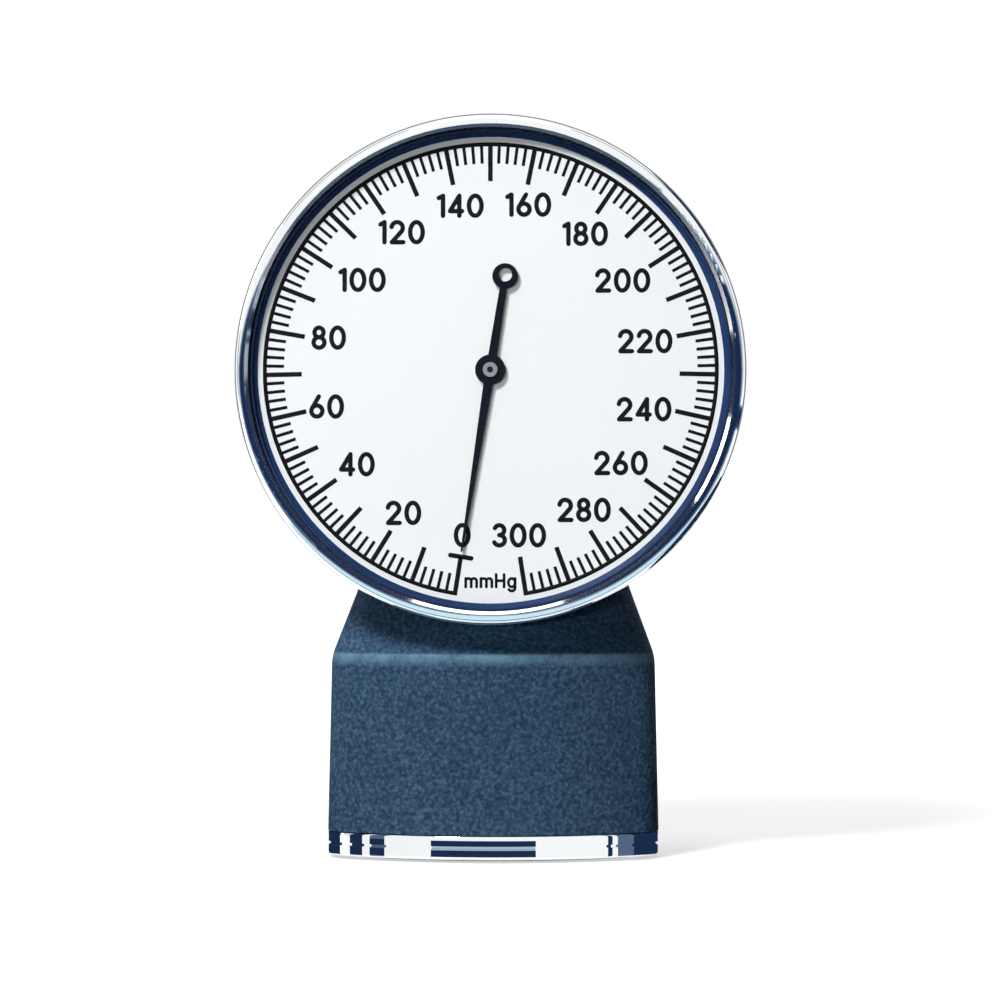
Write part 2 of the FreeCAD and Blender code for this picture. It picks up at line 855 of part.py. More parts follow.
def rocker_lever(label, hub_radius, hub_width, x, arm):
    """A lever with a hub that sits on the rocker shaft."""
    hub_rod = rod(f"{label}_hub", hub_radius, hub_width)
    place(hub_rod, x=hub_width / -2, turn=ALONG)
    hole = rod(f"{label}_hole", rocker_radius, hub_width + overrun * 2)
    place(hole, x=hub_width / -2 - overrun, turn=ALONG)
    lever = cut(label, fuse(f"{label}_blank", [hub_rod, arm]), hole)
    return in_gauge(lever, x, pivot_y, rocker_level, rocker_turn)


lift_lever_width = size("lift_lever_width")
lift_lever_thickness = size("lift_lever_thickness")
lift_bar = block(
    "lift_lever_bar", lift_lever_width, lift_arm + size("lift_nose"), lift_lever_thickness
)
place(lift_bar, x=lift_lever_width / -2, z=lift_lever_thickness / -2)
node(rocker_lever("lift_lever", size("lever_hub_radius"), lift_lever_width, 0, lift_bar))
drive_reach = drive_height + size("sector_thickness") / 2 + size("drive_rod_spare")
drive_rod = rod("drive_lever_rod", size("drive_rod_radius"), drive_reach)
place(drive_rod, y=rod_offset)
node(rocker_lever("drive_lever", size("drive_hub_radius"), drive_hub_width, drive_x, drive_rod))

# Bearings of the rocker, under the movement's base plate
bearing_depth = size("bearing_depth")
bearing_foot = rocker_level - rocker_radius - size("pivot_fit") - size("bearing_floor")
bearings = []
for i, x in enumerate((size("bearing_inner_x"), -size("bearing_outer_x"))):
    cheek = block(f"bearing_cheek_{i}", bearing_width, bearing_depth, plate_level - bearing_foot)
    place(cheek, x=bearing_width / -2, y=bearing_depth / -2, z=bearing_foot - rocker_level)
    hole = rod(f"bearing_hole_{i}", rocker_radius + size("pivot_fit"), bearing_width + overrun * 2)
    place(hole, x=bearing_width / -2 - overrun, turn=ALONG)
    bearing = cut(f"rocker_bearing_{i}", cheek, hole)
    bearings.append(in_gauge(bearing, x, pivot_y, rocker_level))
node(group("rocker_bearings", bearings))

# Movement plates, pillars and screws
pillar_circle_radius = size("pillar_circle_radius")
top_plate_radius = pillar_circle_radius + size("pillar_edge")
pillar_places = on_circle(pillar_circle_radius, size("pillar_angle"), 3)
small_screw_hole = size("small_screw_radius") + size("screw_fit")
case_screw_hole = size("case_screw_radius") + size("screw_fit")
slot_margin = size("slot_margin")
rod_swing = (drive_height + size("sector_thickness") / 2) * tangent(rocker_half_angle)
slot_width = size("drive_rod_radius") * 2 + slot_margin * 2
slot_height = (rod_swing + size("drive_rod_radius") + slot_margin) * 2


def draw_base_plate(sketch):
    draw_circle(sketch, 0, 0, plate_radius)
    draw_circle(sketch, 0, 0, arbor_hole_radius)
    draw_circle(sketch, pivot_x, pivot_y, sector_shaft_hole_radius)
    draw_box(sketch, drive_x, pivot_y + rod_offset, slot_width, slot_height)
    for x, y in case_screw_places:
        draw_circle(sketch, x, y, case_screw_hole)


def draw_top_plate(sketch):
    draw_circle(sketch, 0, 0, top_plate_radius)
    draw_circle(sketch, 0, 0, arbor_hole_radius)
    draw_circle(sketch, pivot_x, pivot_y, sector_shaft_hole_radius)
    for x, y in pillar_places:
        draw_circle(sketch, x, y, small_screw_hole)


node(in_gauge(padded("movement_base_plate", plate_thickness, draw_base_plate), z=plate_level))
node(in_gauge(padded("movement_top_plate", plate_thickness, draw_top_plate), z=top_plate_level))

pillar_height = top_plate_level - plate_top
small_screw_length = size("small_screw_length")
pillars = []
plate_screws = []
for i, (x, y) in enumerate(pillar_places):
    pillar = rod(f"pillar_rod_{i}", size("pillar_radius"), pillar_height)
    tapped = rod(f"pillar_tap_{i}", size("small_screw_radius") + size("thread_fit"), pillar_height)
    place(tapped, z=pillar_height - small_screw_length + plate_thickness - size("thread_fit"))
    pillars.append(in_gauge(cut(f"pillar_{i}", pillar, tapped), x, y, plate_top))
    screw = slotted_screw(
        f"plate_screw_{i}",
        size("small_screw_radius"),
        small_screw_length,
        size("small_head_radius"),
        size("small_head_height"),
        size("small_slot_width"),
    )
    plate_screws.append(in_gauge(screw, x, y, top_plate_top))
node(group("pillars", pillars))
node(group("plate_screws", plate_screws))

movement_screws = []
for i, (x, y) in enumerate(case_screw_places):
    screw = slotted_screw(
        f"movement_screw_{i}",
        size("case_screw_radius"),
        size("case_screw_length"),
        size("case_head_radius"),
        size("case_head_height"),
        size("case_slot_width"),
    )
    movement_screws.append(in_gauge(screw, x, y, plate_top))
node(group("movement_screws", movement_screws))

# Hairspring, a flat spiral strip from the collet on the arbor to a stud under the top plate
collet_radius = size("collet_radius")
collet = ring("hairspring_collet", arbor_radius, collet_radius, spring_level, spring_top)
node(in_gauge(collet))
turns = size("spring_turns").value
strip = size("spring_strip").value
inner_edge = []
outer_edge = []
step_count = round(turns * SPIRAL_STEPS)
for i in range(step_count + 1):
    angle = 2 * math.pi * i / SPIRAL_STEPS
    radius = collet_radius.value + size("spring_pitch").value * i / SPIRAL_STEPS
    inner_edge.append(polar(radius + size("thread_fit").value, angle))
    outer_edge.append(polar(radius + size("thread_fit").value + strip, angle))
spring_shape = flat_solid(inner_edge + outer_edge[::-1], size("spring_height").value)
node(in_gauge(shaped("hairspring", spring_shape), z=spring_level))
stud_radius = size("stud_radius")
spring_end = collet_radius + size("spring_pitch") * size("spring_turns") + size("spring_strip")
spring_end_angle = size("spring_turns") * 360
stud_distance = spring_end + size("thread_fit") * 2 + stud_radius
stud = rod("hairspring_stud", stud_radius, top_plate_level - spring_level)
node(
    in_gauge(
        stud,
        stud_distance * cosine(spring_end_angle),
        stud_distance * sine(spring_end_angle),
        spring_level,
    )
)

# Capsule of two corrugated shells, soldered at the rim, and the lifter on it
capsule_radius = post_circle_radius - size("post_radius") - size("capsule_gap")
capsule_sheet = size("capsule_sheet")
flange_inner = capsule_radius - size("capsule_flange")
waves = round(size("capsule_waves").value)
wave_step = (flange_inner - size("capsule_centre_radius")) / (waves * 2)
half_height = size("capsule_height") / 2


def capsule_shell(label, hole_radius):
    """A shell whose rim lies on z = 0 and whose middle is raised."""
    crest = half_height - capsule_sheet
    under = [(flange_inner, sized(0))]
    for i in range(1, waves * 2):
        radius = flange_inner - wave_step * i
        low = crest - size("capsule_wave")
        under.append((radius, crest if i % 2 else low))
    under.append((size("capsule_centre_radius"), crest))
    under.append((hole_radius, crest))
    over = [(radius, level + capsule_sheet) for radius, level in reversed(under)]
    rim = [(capsule_radius, capsule_sheet), (capsule_radius, sized(0))]
    loop = [(r, z) if z.value else (r, 0) for r, z in under + over + rim]
    return turned(label, loop[::-1])


FLIP = FreeCAD.Rotation(ACROSS, 180)
capsule_middle = capsule_level + half_height
rear_shell = capsule_shell("capsule_rear_shell", size("stem_bore_radius"))
node(in_gauge(rear_shell, z=capsule_middle, turn=FLIP))
front_shell = capsule_shell("capsule_front_shell", size("lifter_pin_radius"))
node(in_gauge(front_shell, z=capsule_middle))
lifter = turned(
    "lifter",
    [
        (0, capsule_top),
        (size("pad_radius"), capsule_top),
        (size("pad_radius"), pad_top),
        (size("lifter_pin_radius"), pad_top),
        (size("lifter_pin_radius"), pin_top),
        (0, pin_top),
    ],
)
node(in_gauge(lifter))

# Stem through the case and the neck, with its seal, washer and nut, and an elbow at its end
stem_radius = size("stem_radius")
stem_bore_radius = size("stem_bore_radius")
housing_wall = size("housing_wall")
washer_back = housing_wall + size("washer_thickness")
nut_back = washer_back + size("nut_thickness")
elbow_half = size("elbow_half")
elbow_depth = nut_back + elbow_half
stem_flange_radius = stem_radius + size("stem_ledge")
stem = turned(
    "stem",
    [
        (stem_bore_radius, -elbow_depth),
        (stem_radius, -elbow_depth),
        (stem_radius, flange_level),
        (stem_flange_radius, flange_level),
        (stem_flange_radius, capsule_level),
        (stem_bore_radius, capsule_level),
    ],
)
node(in_gauge(stem))
node(in_gauge(ring("stem_seal", stem_hole_radius, stem_flange_radius, seal_level, flange_level)))
washer_radius = stem_radius + size("washer_ledge")
washer = ring("stem_washer", stem_hole_radius, washer_radius, -washer_back, -housing_wall)
node(in_gauge(washer))

def hexagon_nut(label, thickness):
    """A nut on its own z axis."""
    half_flats = stem_radius + size("nut_wall")
    corner = half_flats / cosine(sized(180 / HEX_SIDES))
    nut_points = []
    for i in range(HEX_SIDES):
        angle = sized((i + 0.5) * 360 / HEX_SIDES)
        nut_points.append((corner * cosine(angle), corner * sine(angle)))

    def draw(sketch):
        draw_loop(sketch, nut_points)
        draw_circle(sketch, 0, 0, stem_radius + size("thread_fit"))

    return padded(label, thickness, draw)


node(in_gauge(hexagon_nut("stem_nut", size("nut_thickness")), z=-nut_back))

tube_depth = gauge_back + elbow_depth
elbow_radius = stem_radius + size("thread_fit") + size("elbow_wall")
spigot_start = elbow_radius
spigot_end = spigot_start + size("elbow_drop") + size("spigot_length")


def elbow(label):
    """A fitting that opens along -z, with a spigot along -y."""
    barrel = rod(f"{label}_barrel", elbow_radius, elbow_half * 2)
    place(barrel, z=-elbow_half)
    neck = rod(f"{label}_neck", size("spigot_radius"), spigot_end)
    place(neck, turn=FACING)
    socket = rod(f"{label}_socket", stem_radius + size("thread_fit"), elbow_half + overrun)
    place(socket, z=-elbow_half - overrun)
    spigot_bore = rod(f"{label}_bore", size("spigot_bore_radius"), spigot_end + overrun)
    place(spigot_bore, turn=FACING)
    return cut(
        label,
        fuse(f"{label}_blank", [barrel, neck]),
        fuse(f"{label}_voids", [socket, spigot_bore]),
    )


# The upper elbow opens to the front with its spigot down, the lower one to the back with it up.
nipple_height = size("nipple_height")
HALF_TURN = FreeCAD.Rotation(UP, 180)
BACKWARD = FreeCAD.Rotation(ACROSS, -90)
upper_turn = BACKWARD.multiply(HALF_TURN)
lower_turn = FACING.multiply(HALF_TURN)
upper_elbow = place(elbow("upper_elbow"), y=tube_depth, z=gauge_height, turn=upper_turn)
lower_elbow = place(elbow("lower_elbow"), y=tube_depth, z=nipple_height, turn=lower_turn)
node(group("elbows", [upper_elbow, lower_elbow]))

tube_low = nipple_height + spigot_start + size("elbow_drop")
tube_high = gauge_height - spigot_start - size("elbow_drop")
tube_bore_radius = size("spigot_radius") + size("tube_fit")
air_tube = ring(
    "air_tube",
    tube_bore_radius,
    tube_bore_radius + size("tube_wall"),
    sized(0),
    tube_high - tube_low,
)
node(place(air_tube, y=tube_depth, z=tube_low))

# Hose nipple, clamped in the back of the base; its axis is +Y and its height counts from the seat
band_top = size("foot_lift") + size("band_height")
nut_depth = tube_depth + elbow_half + size("nut_gap")
nut_face = nut_depth + size("nipple_nut_thickness")
seat_depth = nut_face + size("nipple_clamp")
base_back = seat_depth + size("nipple_seat")
seal_top = size("nipple_seal")
flange_top = seal_top + size("nipple_flange")
nipple_neck_radius = size("nipple_neck_radius")
nipple_land_radius = nipple_neck_radius + size("nipple_barb_rise")
nipple_flange_radius = stem_radius + size("nipple_ledge")
nipple_points = [
    (stem_bore_radius, tube_depth - seat_depth),
    (stem_radius, tube_depth - seat_depth),
    (stem_radius, seal_top),
    (nipple_flange_radius, seal_top),
    (nipple_flange_radius, flange_top),
    (nipple_neck_radius, flange_top),
]
barb_level = flange_top + size("nipple_run")
for i in range(round(size("nipple_barbs").value)):
    nipple_points.append((nipple_neck_radius, barb_level))
    nipple_points.append((nipple_land_radius, barb_level))
    nipple_points.append((nipple_land_radius, barb_level + size("nipple_land")))
    barb_level = barb_level + size("nipple_barb")
nipple_points.append((nipple_neck_radius, barb_level))
nipple_points.append((stem_bore_radius, barb_level))


def in_back(obj, y):
    """Puts a piece of the hose nipple at its depth, with its axis to the back."""
    return place(obj, y=y, z=nipple_height, turn=BACKWARD)


node(in_back(turned("hose_nipple", nipple_points), seat_depth))
nipple_hole_radius = stem_radius + size("stem_fit")
seal = ring("nipple_seal", nipple_hole_radius, nipple_flange_radius, sized(0), seal_top)
node(in_back(seal, seat_depth))
nipple_nut = hexagon_nut("nipple_nut", size("nipple_nut_thickness"))
node(in_back(nipple_nut, nut_depth))

# Plans of the base and the neck: crowned front and back, straight sides, round corners


def plan(name, level, half_width, front, back, corner, inset=0):
    """Draws one plan; front and back are y values and inset draws it that much smaller."""
    half_width = half_width - inset
    front = front + inset
    back = back - inset
    corner = corner - inset
    crown = size("front_crown_radius") - inset
    rear_crown = size("rear_crown_radius") - inset
    sketch = doc.addObject("Sketcher::SketchObject", name)
    place(sketch, z=level)
    side = half_width.value - corner.value
    front_reach = math.sqrt((crown.value - corner.value) ** 2 - side**2)
    back_reach = math.sqrt((rear_crown.value - corner.value) ** 2 - side**2)
    front_centre = front + crown
    back_centre = back - rear_crown
    front_corner = front_centre.value - front_reach
    back_corner = back_centre.value + back_reach
    tilt = math.atan2(side, front_reach)
    back_tilt = math.atan2(side, back_reach)
    down = math.pi * 3 / 2
    up = math.pi / 2
    right = half_width.value

    def arc(x, y, radius, begin, end):
        circle = Part.Circle(FreeCAD.Vector(x, y, 0), UP, radius)
        sketch.addGeometry(Part.ArcOfCircle(circle, begin, end), False)

    def line(x, begin, end):
        segment = Part.LineSegment(FreeCAD.Vector(x, begin, 0), FreeCAD.Vector(x, end, 0))
        sketch.addGeometry(segment, False)

    arc(0, front_centre.value, crown.value, down - tilt, down + tilt)
    arc(side, front_corner, corner.value, down + tilt, math.pi * 2)
    line(right, front_corner, back_corner)
    arc(side, back_corner, corner.value, 0, up - back_tilt)
    arc(0, back_centre.value, rear_crown.value, up - back_tilt, up + back_tilt)
    arc(-side, back_corner, corner.value, up + back_tilt, math.pi)
    line(-right, back_corner, front_corner)
    arc(-side, front_corner, corner.value, math.pi, down - tilt)
    count = sketch.GeometryCount
    for i in range(count):
        sketch.addConstraint(Sketcher.Constraint("Tangent", i, 2, (i + 1) % count, 1))
    fix_radius(sketch, 0, crown)
    fix_radius(sketch, 4, rear_crown)
    for i in (1, 3, 5, 7):
        fix_radius(sketch, i, corner)
    fix_point(sketch, 0, 3, 0, front_centre)
    fix_point(sketch, 4, 3, 0, back_centre)
    for i, number in ((2, half_width), (6, -half_width)):
        sketch.addConstraint(Sketcher.Constraint("Vertical", i))
        index = sketch.addConstraint(Sketcher.Constraint("DistanceX", -1, 1, i, 1, number.value))
        sketch.setExpression(f"Constraints[{index}]", number.text)
    return sketch


shoulder_height = size("shoulder_height")
neck_foot_height = shoulder_height + size("slope_height")
neck_top_height = gauge_height + size("neck_rise")
base_half_width = size("base_half_width")
base_front = size("base_front")
shoulder_half_width = base_half_width - size("side_draft")
shoulder_front = base_front - size("front_draft")
base_plan = (base_half_width, -base_front, base_back, size("base_corner"))
shoulder_plan = (
    shoulder_half_width,
    -shoulder_front,
    base_back - size("back_draft"),
    size("base_corner"),
)
neck_foot_plan = (
    shoulder_half_width - size("slope_side"),
    size("slope_front") - shoulder_front,
    base_back - size("neck_foot_draft"),
    size("neck_foot_corner"),
)
neck_top_plan = (
    size("neck_top_half_width"),
    size("neck_top_front"),
    base_back - size("neck_top_draft"),
    size("neck_top_corner"),
)


def blend(first, second, share):
    """A stage of the column part of the way from one to another."""
    return tuple(a + (b - a) * share for a, b in zip(first, second))


def softened(stages, index, reach):
    """Replaces one stage by a few on a curve that starts and ends a reach away from it."""
    before, corner, after = stages[index - 1 : index + 2]
    low = blend(corner, before, reach / (corner[0] - before[0]))
    high = blend(corner, after, reach / (after[0] - corner[0]))
    curve = []
    for i in range(SOFT_STEPS + 1):
        share = i / SOFT_STEPS
        curve.append(blend(blend(low, corner, share), blend(corner, high, share), share))
    return stages[:index] + curve + stages[index + 1 :]


def column(label, stages, inset):
    """A solid through the stages, each a level and the values of its plan."""
    result = doc.addObject("Part::Loft", label)
    sections = []
    for i, (level, *values) in enumerate(stages):
        sections.append(plan(f"{label}_plan_{i}", level, *values, inset))
    result.Sections = sections
    result.Solid = True
    result.Ruled = True
    return result


def at_level(level):
    """Picks the edges that lie on one level."""

    def choose(edge):
        box = edge.BoundBox
        return max(abs(box.ZMin - level.value), abs(box.ZMax - level.value)) < NEAR

    return choose


outer_stages = [
    (band_top, *base_plan),
    (shoulder_height, *shoulder_plan),
    (neck_foot_height, *neck_foot_plan),
    (neck_top_height, *neck_top_plan),
]
soft_stages = softened(outer_stages, 2, size("neck_foot_round"))
soft_stages = softened(soft_stages, 1, size("shoulder_round"))
outer = column("column_outer", soft_stages, sized(0))
outer = rounded("column_round", outer, size("neck_round"), at_level(neck_top_height))
inner_stages = [
    (band_top - overrun, *base_plan),
    (shoulder_height, *shoulder_plan),
    (neck_foot_height, *neck_foot_plan),
    (neck_top_height - housing_wall, *neck_top_plan),
]
inner = column("column_inner", inner_stages, housing_wall)


def gauge_envelope(label, margin, back):
    """The room of the case and the bezel, with a margin round them."""
    front = bezel_top + overrun * 2
    cup = rod(f"{label}_cup", case_radius + margin, front + back)
    in_gauge(cup, z=-back)
    hoop = rod(f"{label}_hoop", bezel_radius + margin, front - bezel_level + margin)
    in_gauge(hoop, z=bezel_level - margin)
    return fuse(label, [cup, hoop])


case_gap = size("case_gap")
saddle = gauge_envelope("saddle", case_gap, sized(0))
saddle_wall = gauge_envelope("saddle_wall", case_gap + housing_wall, housing_wall)
solid_column = cut("solid_column", outer, saddle)
hollow_column = cut("hollow_column", inner, saddle_wall)
shell = cut("shell", solid_column, hollow_column)

# Bosses: four run from front to back for the housing's screws, four stand on the base plate
boss_radius = size("boss_radius")
boss_side = base_half_width - size("boss_inset")
boss_height = size("boss_height")
split_depth = size("split_depth")
boss_places = []
for side in (-1, 1):
    boss_places.append((boss_side * side, boss_height))
    boss_places.append((size("neck_boss_side") * side, size("neck_boss_height")))
boss_rods = []
for i, (x, z) in enumerate(boss_places):
    boss = rod(f"boss_{i}", boss_radius, base_front + base_back)
    boss_rods.append(place(boss, x, -base_front, z, BACKWARD))
bosses = common("bosses", [solid_column, fuse("boss_rods", boss_rods)])
ledge_level = band_top - size("band_ledge")
foot_places = []
for side in (-1, 1):
    foot_places.append((boss_side * side, -size("foot_screw_front")))
    foot_places.append((boss_side * side, size("foot_screw_back")))
foot_posts = []
for i, (x, y) in enumerate(foot_places):
    foot_post = rod(f"foot_post_{i}", boss_radius, boss_height - ledge_level)
    foot_posts.append(place(foot_post, x, y, ledge_level))
housing = fuse("housing", [shell, bosses] + foot_posts)

half_span = base_half_width + overrun
front_half = block(
    "front_half", half_span * 2, base_front + overrun + split_depth, neck_top_height + overrun
)
place(front_half, -half_span, -base_front - overrun)
rear_half = block(
    "rear_half", half_span * 2, base_back + overrun - split_depth, neck_top_height + overrun
)
place(rear_half, -half_span, split_depth)

housing_screw_radius = size("housing_screw_radius")
head_radius = size("housing_head_radius")
head_height = size("housing_head_height")
screw_seat = split_depth + size("boss_seat")
housing_screw_length = screw_seat - gauge_back - size("boss_tip_wall")
thread_fit = size("thread_fit")
front_voids = []
rear_voids = []
housing_screws = []
for i, (x, z) in enumerate(boss_places):
    tip = screw_seat - housing_screw_length - thread_fit
    tapped = rod(f"boss_tap_{i}", housing_screw_radius + thread_fit, split_depth - tip + overrun)
    front_voids.append(place(tapped, x, tip, z, BACKWARD))
    through = rod(f"boss_hole_{i}", housing_screw_radius + size("screw_fit"), base_back)
    rear_voids.append(place(through, x, split_depth - overrun, z, BACKWARD))
    sunk = rod(f"boss_sink_{i}", head_radius + size("recess_margin"), base_back)
    rear_voids.append(place(sunk, x, screw_seat, z, BACKWARD))
    screw = slotted_screw(
        f"housing_screw_{i}",
        housing_screw_radius,
        housing_screw_length,
        head_radius,
        head_height,
        size("housing_slot_width"),
    )
    housing_screws.append(place(screw, x, screw_seat, z, BACKWARD))

foot_screw_length = size("foot_screw_length")
base_plate_level = ledge_level - size("base_plate_thickness")
foot_seat = base_plate_level + head_height + thread_fit
foot_screws = []
plate_voids = []
for i, (x, y) in enumerate(foot_places):
    depth = foot_seat + foot_screw_length - ledge_level + thread_fit
    tapped = rod(f"foot_tap_{i}", housing_screw_radius + thread_fit, depth + overrun)
    front_voids.append(place(tapped, x, y, ledge_level - overrun))
    through = rod(f"foot_hole_{i}", housing_screw_radius + size("screw_fit"), band_top + overrun)
    plate_voids.append(place(through, x, y))
    sunk = rod(f"foot_sink_{i}", head_radius + size("recess_margin"), foot_seat + overrun)
    plate_voids.append(place(sunk, x, y, -overrun))
    screw = slotted_screw(
        f"foot_screw_{i}",
        housing_screw_radius,
        foot_screw_length,
        head_radius,
        head_height,
        size("housing_slot_width"),
    )
    foot_screws.append(place(screw, x, y, foot_seat, FLIP))

stem_hole = rod("stem_hole", stem_hole_radius, housing_wall + overrun * 2)
front_voids.append(in_gauge(stem_hole, z=-housing_wall - overrun))
for i, (x, y) in enumerate(pin_places):
    pin_hole = rod(f"pin_hole_{i}", pin_radius + thread_fit, housing_wall + overrun * 2)
    front_voids.append(in_gauge(pin_hole, x, y, -housing_wall - overrun))
nipple_hole = rod("nipple_hole", nipple_hole_radius, housing_wall * 2 + overrun)
rear_voids.append(in_back(nipple_hole, base_back - housing_wall * 2))
spot_radius = nipple_flange_radius + size("recess_margin")
spot_face = rod("spot_face", spot_radius, housing_wall + overrun)
rear_voids.append(in_back(spot_face, seat_depth))
nut_room = rod("nut_room", (stem_radius + size("nut_wall")) * 2, nut_face - nut_depth)
rear_voids.append(in_back(nut_room, nut_depth))

front_shell_half = common("front_shell_half", [housing, front_half])
rear_shell_half = common("rear_shell_half", [housing, rear_half])
node(cut("front_housing", front_shell_half, fuse("front_voids", front_voids)))
node(cut("rear_housing", rear_shell_half, fuse("rear_voids", rear_voids)))
node(group("housing_screws", housing_screws))

# Foot: a chrome band with a fine groove round it, clamped by the base plate's ledge


def slab(label, level, height, inset):
    """A flat solid on the base's plan, inset from its outline."""
    section = plan(f"{label}_plan", level, *base_plan, inset)
    result = doc.addObject("Part::Extrusion", label)
    result.Base = section
    result.DirMode = "Custom"
    result.Dir = UP
    result.Solid = True
    return bind(result, LengthFwd=height)


foot_lift = size("foot_lift")
band_height = size("band_height")
band_wall = size("band_wall")
band_ledge = size("band_ledge")
band_solid = slab("band_solid", foot_lift, band_height, sized(0))


def level_edges(edge):
    return edge.BoundBox.ZLength < NEAR


band_blank = rounded("band_blank", band_solid, size("band_round"), level_edges)
band_pocket = slab(
    "band_pocket", foot_lift - overrun, overrun + band_height - band_ledge, band_wall
)
band_mouth = slab(
    "band_mouth",
    foot_lift - overrun,
    overrun * 2 + band_height,
    band_wall + size("band_ledge_width"),
)
groove_height = size("band_groove_height")
groove_level = foot_lift + band_height / 2 - groove_height / 2
groove_outside = slab("groove_outside", groove_level, groove_height, -overrun)
groove_inside = slab(
    "groove_inside", groove_level - overrun, groove_height + overrun * 2, size("band_groove_depth")
)
groove = cut("band_groove", groove_outside, groove_inside)
node(cut("foot_band", band_blank, fuse("band_voids", [band_pocket, band_mouth, groove])))

plate_slab = slab(
    "plate_slab",
    base_plate_level,
    size("base_plate_thickness"),
    band_wall + size("base_plate_fit"),
)
node(cut("base_plate", plate_slab, fuse("plate_voids", plate_voids)))
node(group("foot_screws", foot_screws))
node(slab("foot_pad", sized(0), base_plate_level, size("pad_inset")))
ballast_width = (boss_side - boss_radius - size("ballast_gap")) * 2
ballast_front = base_front - size("ballast_inset")
ballast_box = block(
    "ballast_box",
    ballast_width,
    ballast_front + size("ballast_back"),
    size("ballast_height"),
)


def upright(edge):
    return edge.BoundBox.ZLength > edge.Length * UPRIGHT_SHARE


ballast = rounded("ballast", ballast_box, size("ballast_edge"), upright)
node(place(ballast, ballast_width / -2, -ballast_front, ledge_level))

doc.recompute()
for obj in doc.Objects:
    if "Invalid" in obj.State or "Error" in obj.State:
        raise RuntimeError(f"{obj.Label} failed: {obj.State}")
for obj in nodes:
    shape = obj.Shape
    if shape.isNull() or not shape.isValid() or not shape.Solids:
        raise RuntimeError(f"{obj.Label} has no valid shape")
for obj in nodes:
    obj.Shape.exportStep(f"parts/{obj.Label}.step")
    print(f"{obj.Label}: {len(obj.Shape.Solids)} solids, {obj.Shape.Volume:.2f} mm3")
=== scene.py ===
import json
import math

import bmesh
import bpy
from mathutils import Matrix, Vector
from mathutils.geometry import delaunay_2d_cdt


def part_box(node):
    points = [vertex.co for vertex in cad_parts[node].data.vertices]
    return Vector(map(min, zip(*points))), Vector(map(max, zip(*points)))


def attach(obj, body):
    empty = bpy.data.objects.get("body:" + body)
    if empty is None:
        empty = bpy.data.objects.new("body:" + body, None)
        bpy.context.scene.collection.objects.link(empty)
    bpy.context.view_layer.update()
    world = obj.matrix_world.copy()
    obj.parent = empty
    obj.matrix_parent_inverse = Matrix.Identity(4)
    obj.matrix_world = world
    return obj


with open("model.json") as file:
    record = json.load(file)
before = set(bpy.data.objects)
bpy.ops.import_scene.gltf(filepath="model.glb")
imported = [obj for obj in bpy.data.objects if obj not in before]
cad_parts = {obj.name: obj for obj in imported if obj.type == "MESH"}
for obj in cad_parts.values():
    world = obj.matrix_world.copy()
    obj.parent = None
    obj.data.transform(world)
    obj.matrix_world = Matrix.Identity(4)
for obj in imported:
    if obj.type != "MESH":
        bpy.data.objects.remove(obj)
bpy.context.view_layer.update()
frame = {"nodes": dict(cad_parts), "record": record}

# A free-standing aneroid blood pressure gauge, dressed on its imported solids. Metres, +Z up.
# The dial faces -Y. On the dial, x runs right, y up and z out of the face.

MM = 0.001
GAUGE_HEIGHT = 63.9 * MM
DIAL_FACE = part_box("dial_plate")[0][1]
TO_DIAL = Matrix.Translation((0, DIAL_FACE, GAUGE_HEIGHT)) @ Matrix.Rotation(math.pi / 2, 4, "X")

# Printed scale, in millimetres and degrees
INK = 0.02
ZERO_ANGLE = 9.0
SWEEP = 342.0
FULL_SCALE = 300
MAJOR_VALUE = 10
MINOR_VALUE = 2
LINE_STEPS = 240
SCALE_RADIUS = 29.5
SCALE_LINE = 0.52
MAJOR_INNER = 24.45
MAJOR_WIDTH = 0.6
MINOR_INNER = 26.75
MINOR_WIDTH = 0.41
ZERO_BAR_LENGTH = 3.3
NUMERAL_HEIGHT = 3.15
UNIT_HEIGHT = 1.95
STROKE_SHARE = 0.185
UNIT_DROP = 27.25
# Centre of each numeral on the dial
NUMERAL_PLACES = {
    0: (-3.64, -21.36),
    20: (-11.25, -18.48),
    40: (-17.29, -12.18),
    60: (-21.22, -4.7),
    80: (-20.95, 4.22),
    100: (-16.62, 11.7),
    120: (-11.5, 17.87),
    140: (-3.9, 21.28),
    160: (4.9, 21.4),
    180: (12.25, 17.6),
    200: (17.1, 11.55),
    220: (20.0, 3.7),
    240: (19.85, -5.1),
    260: (16.85, -12.05),
    280: (12.1, -18.1),
    300: (3.72, -21.38),
}


# ---------------------------------------------------------------- finishes


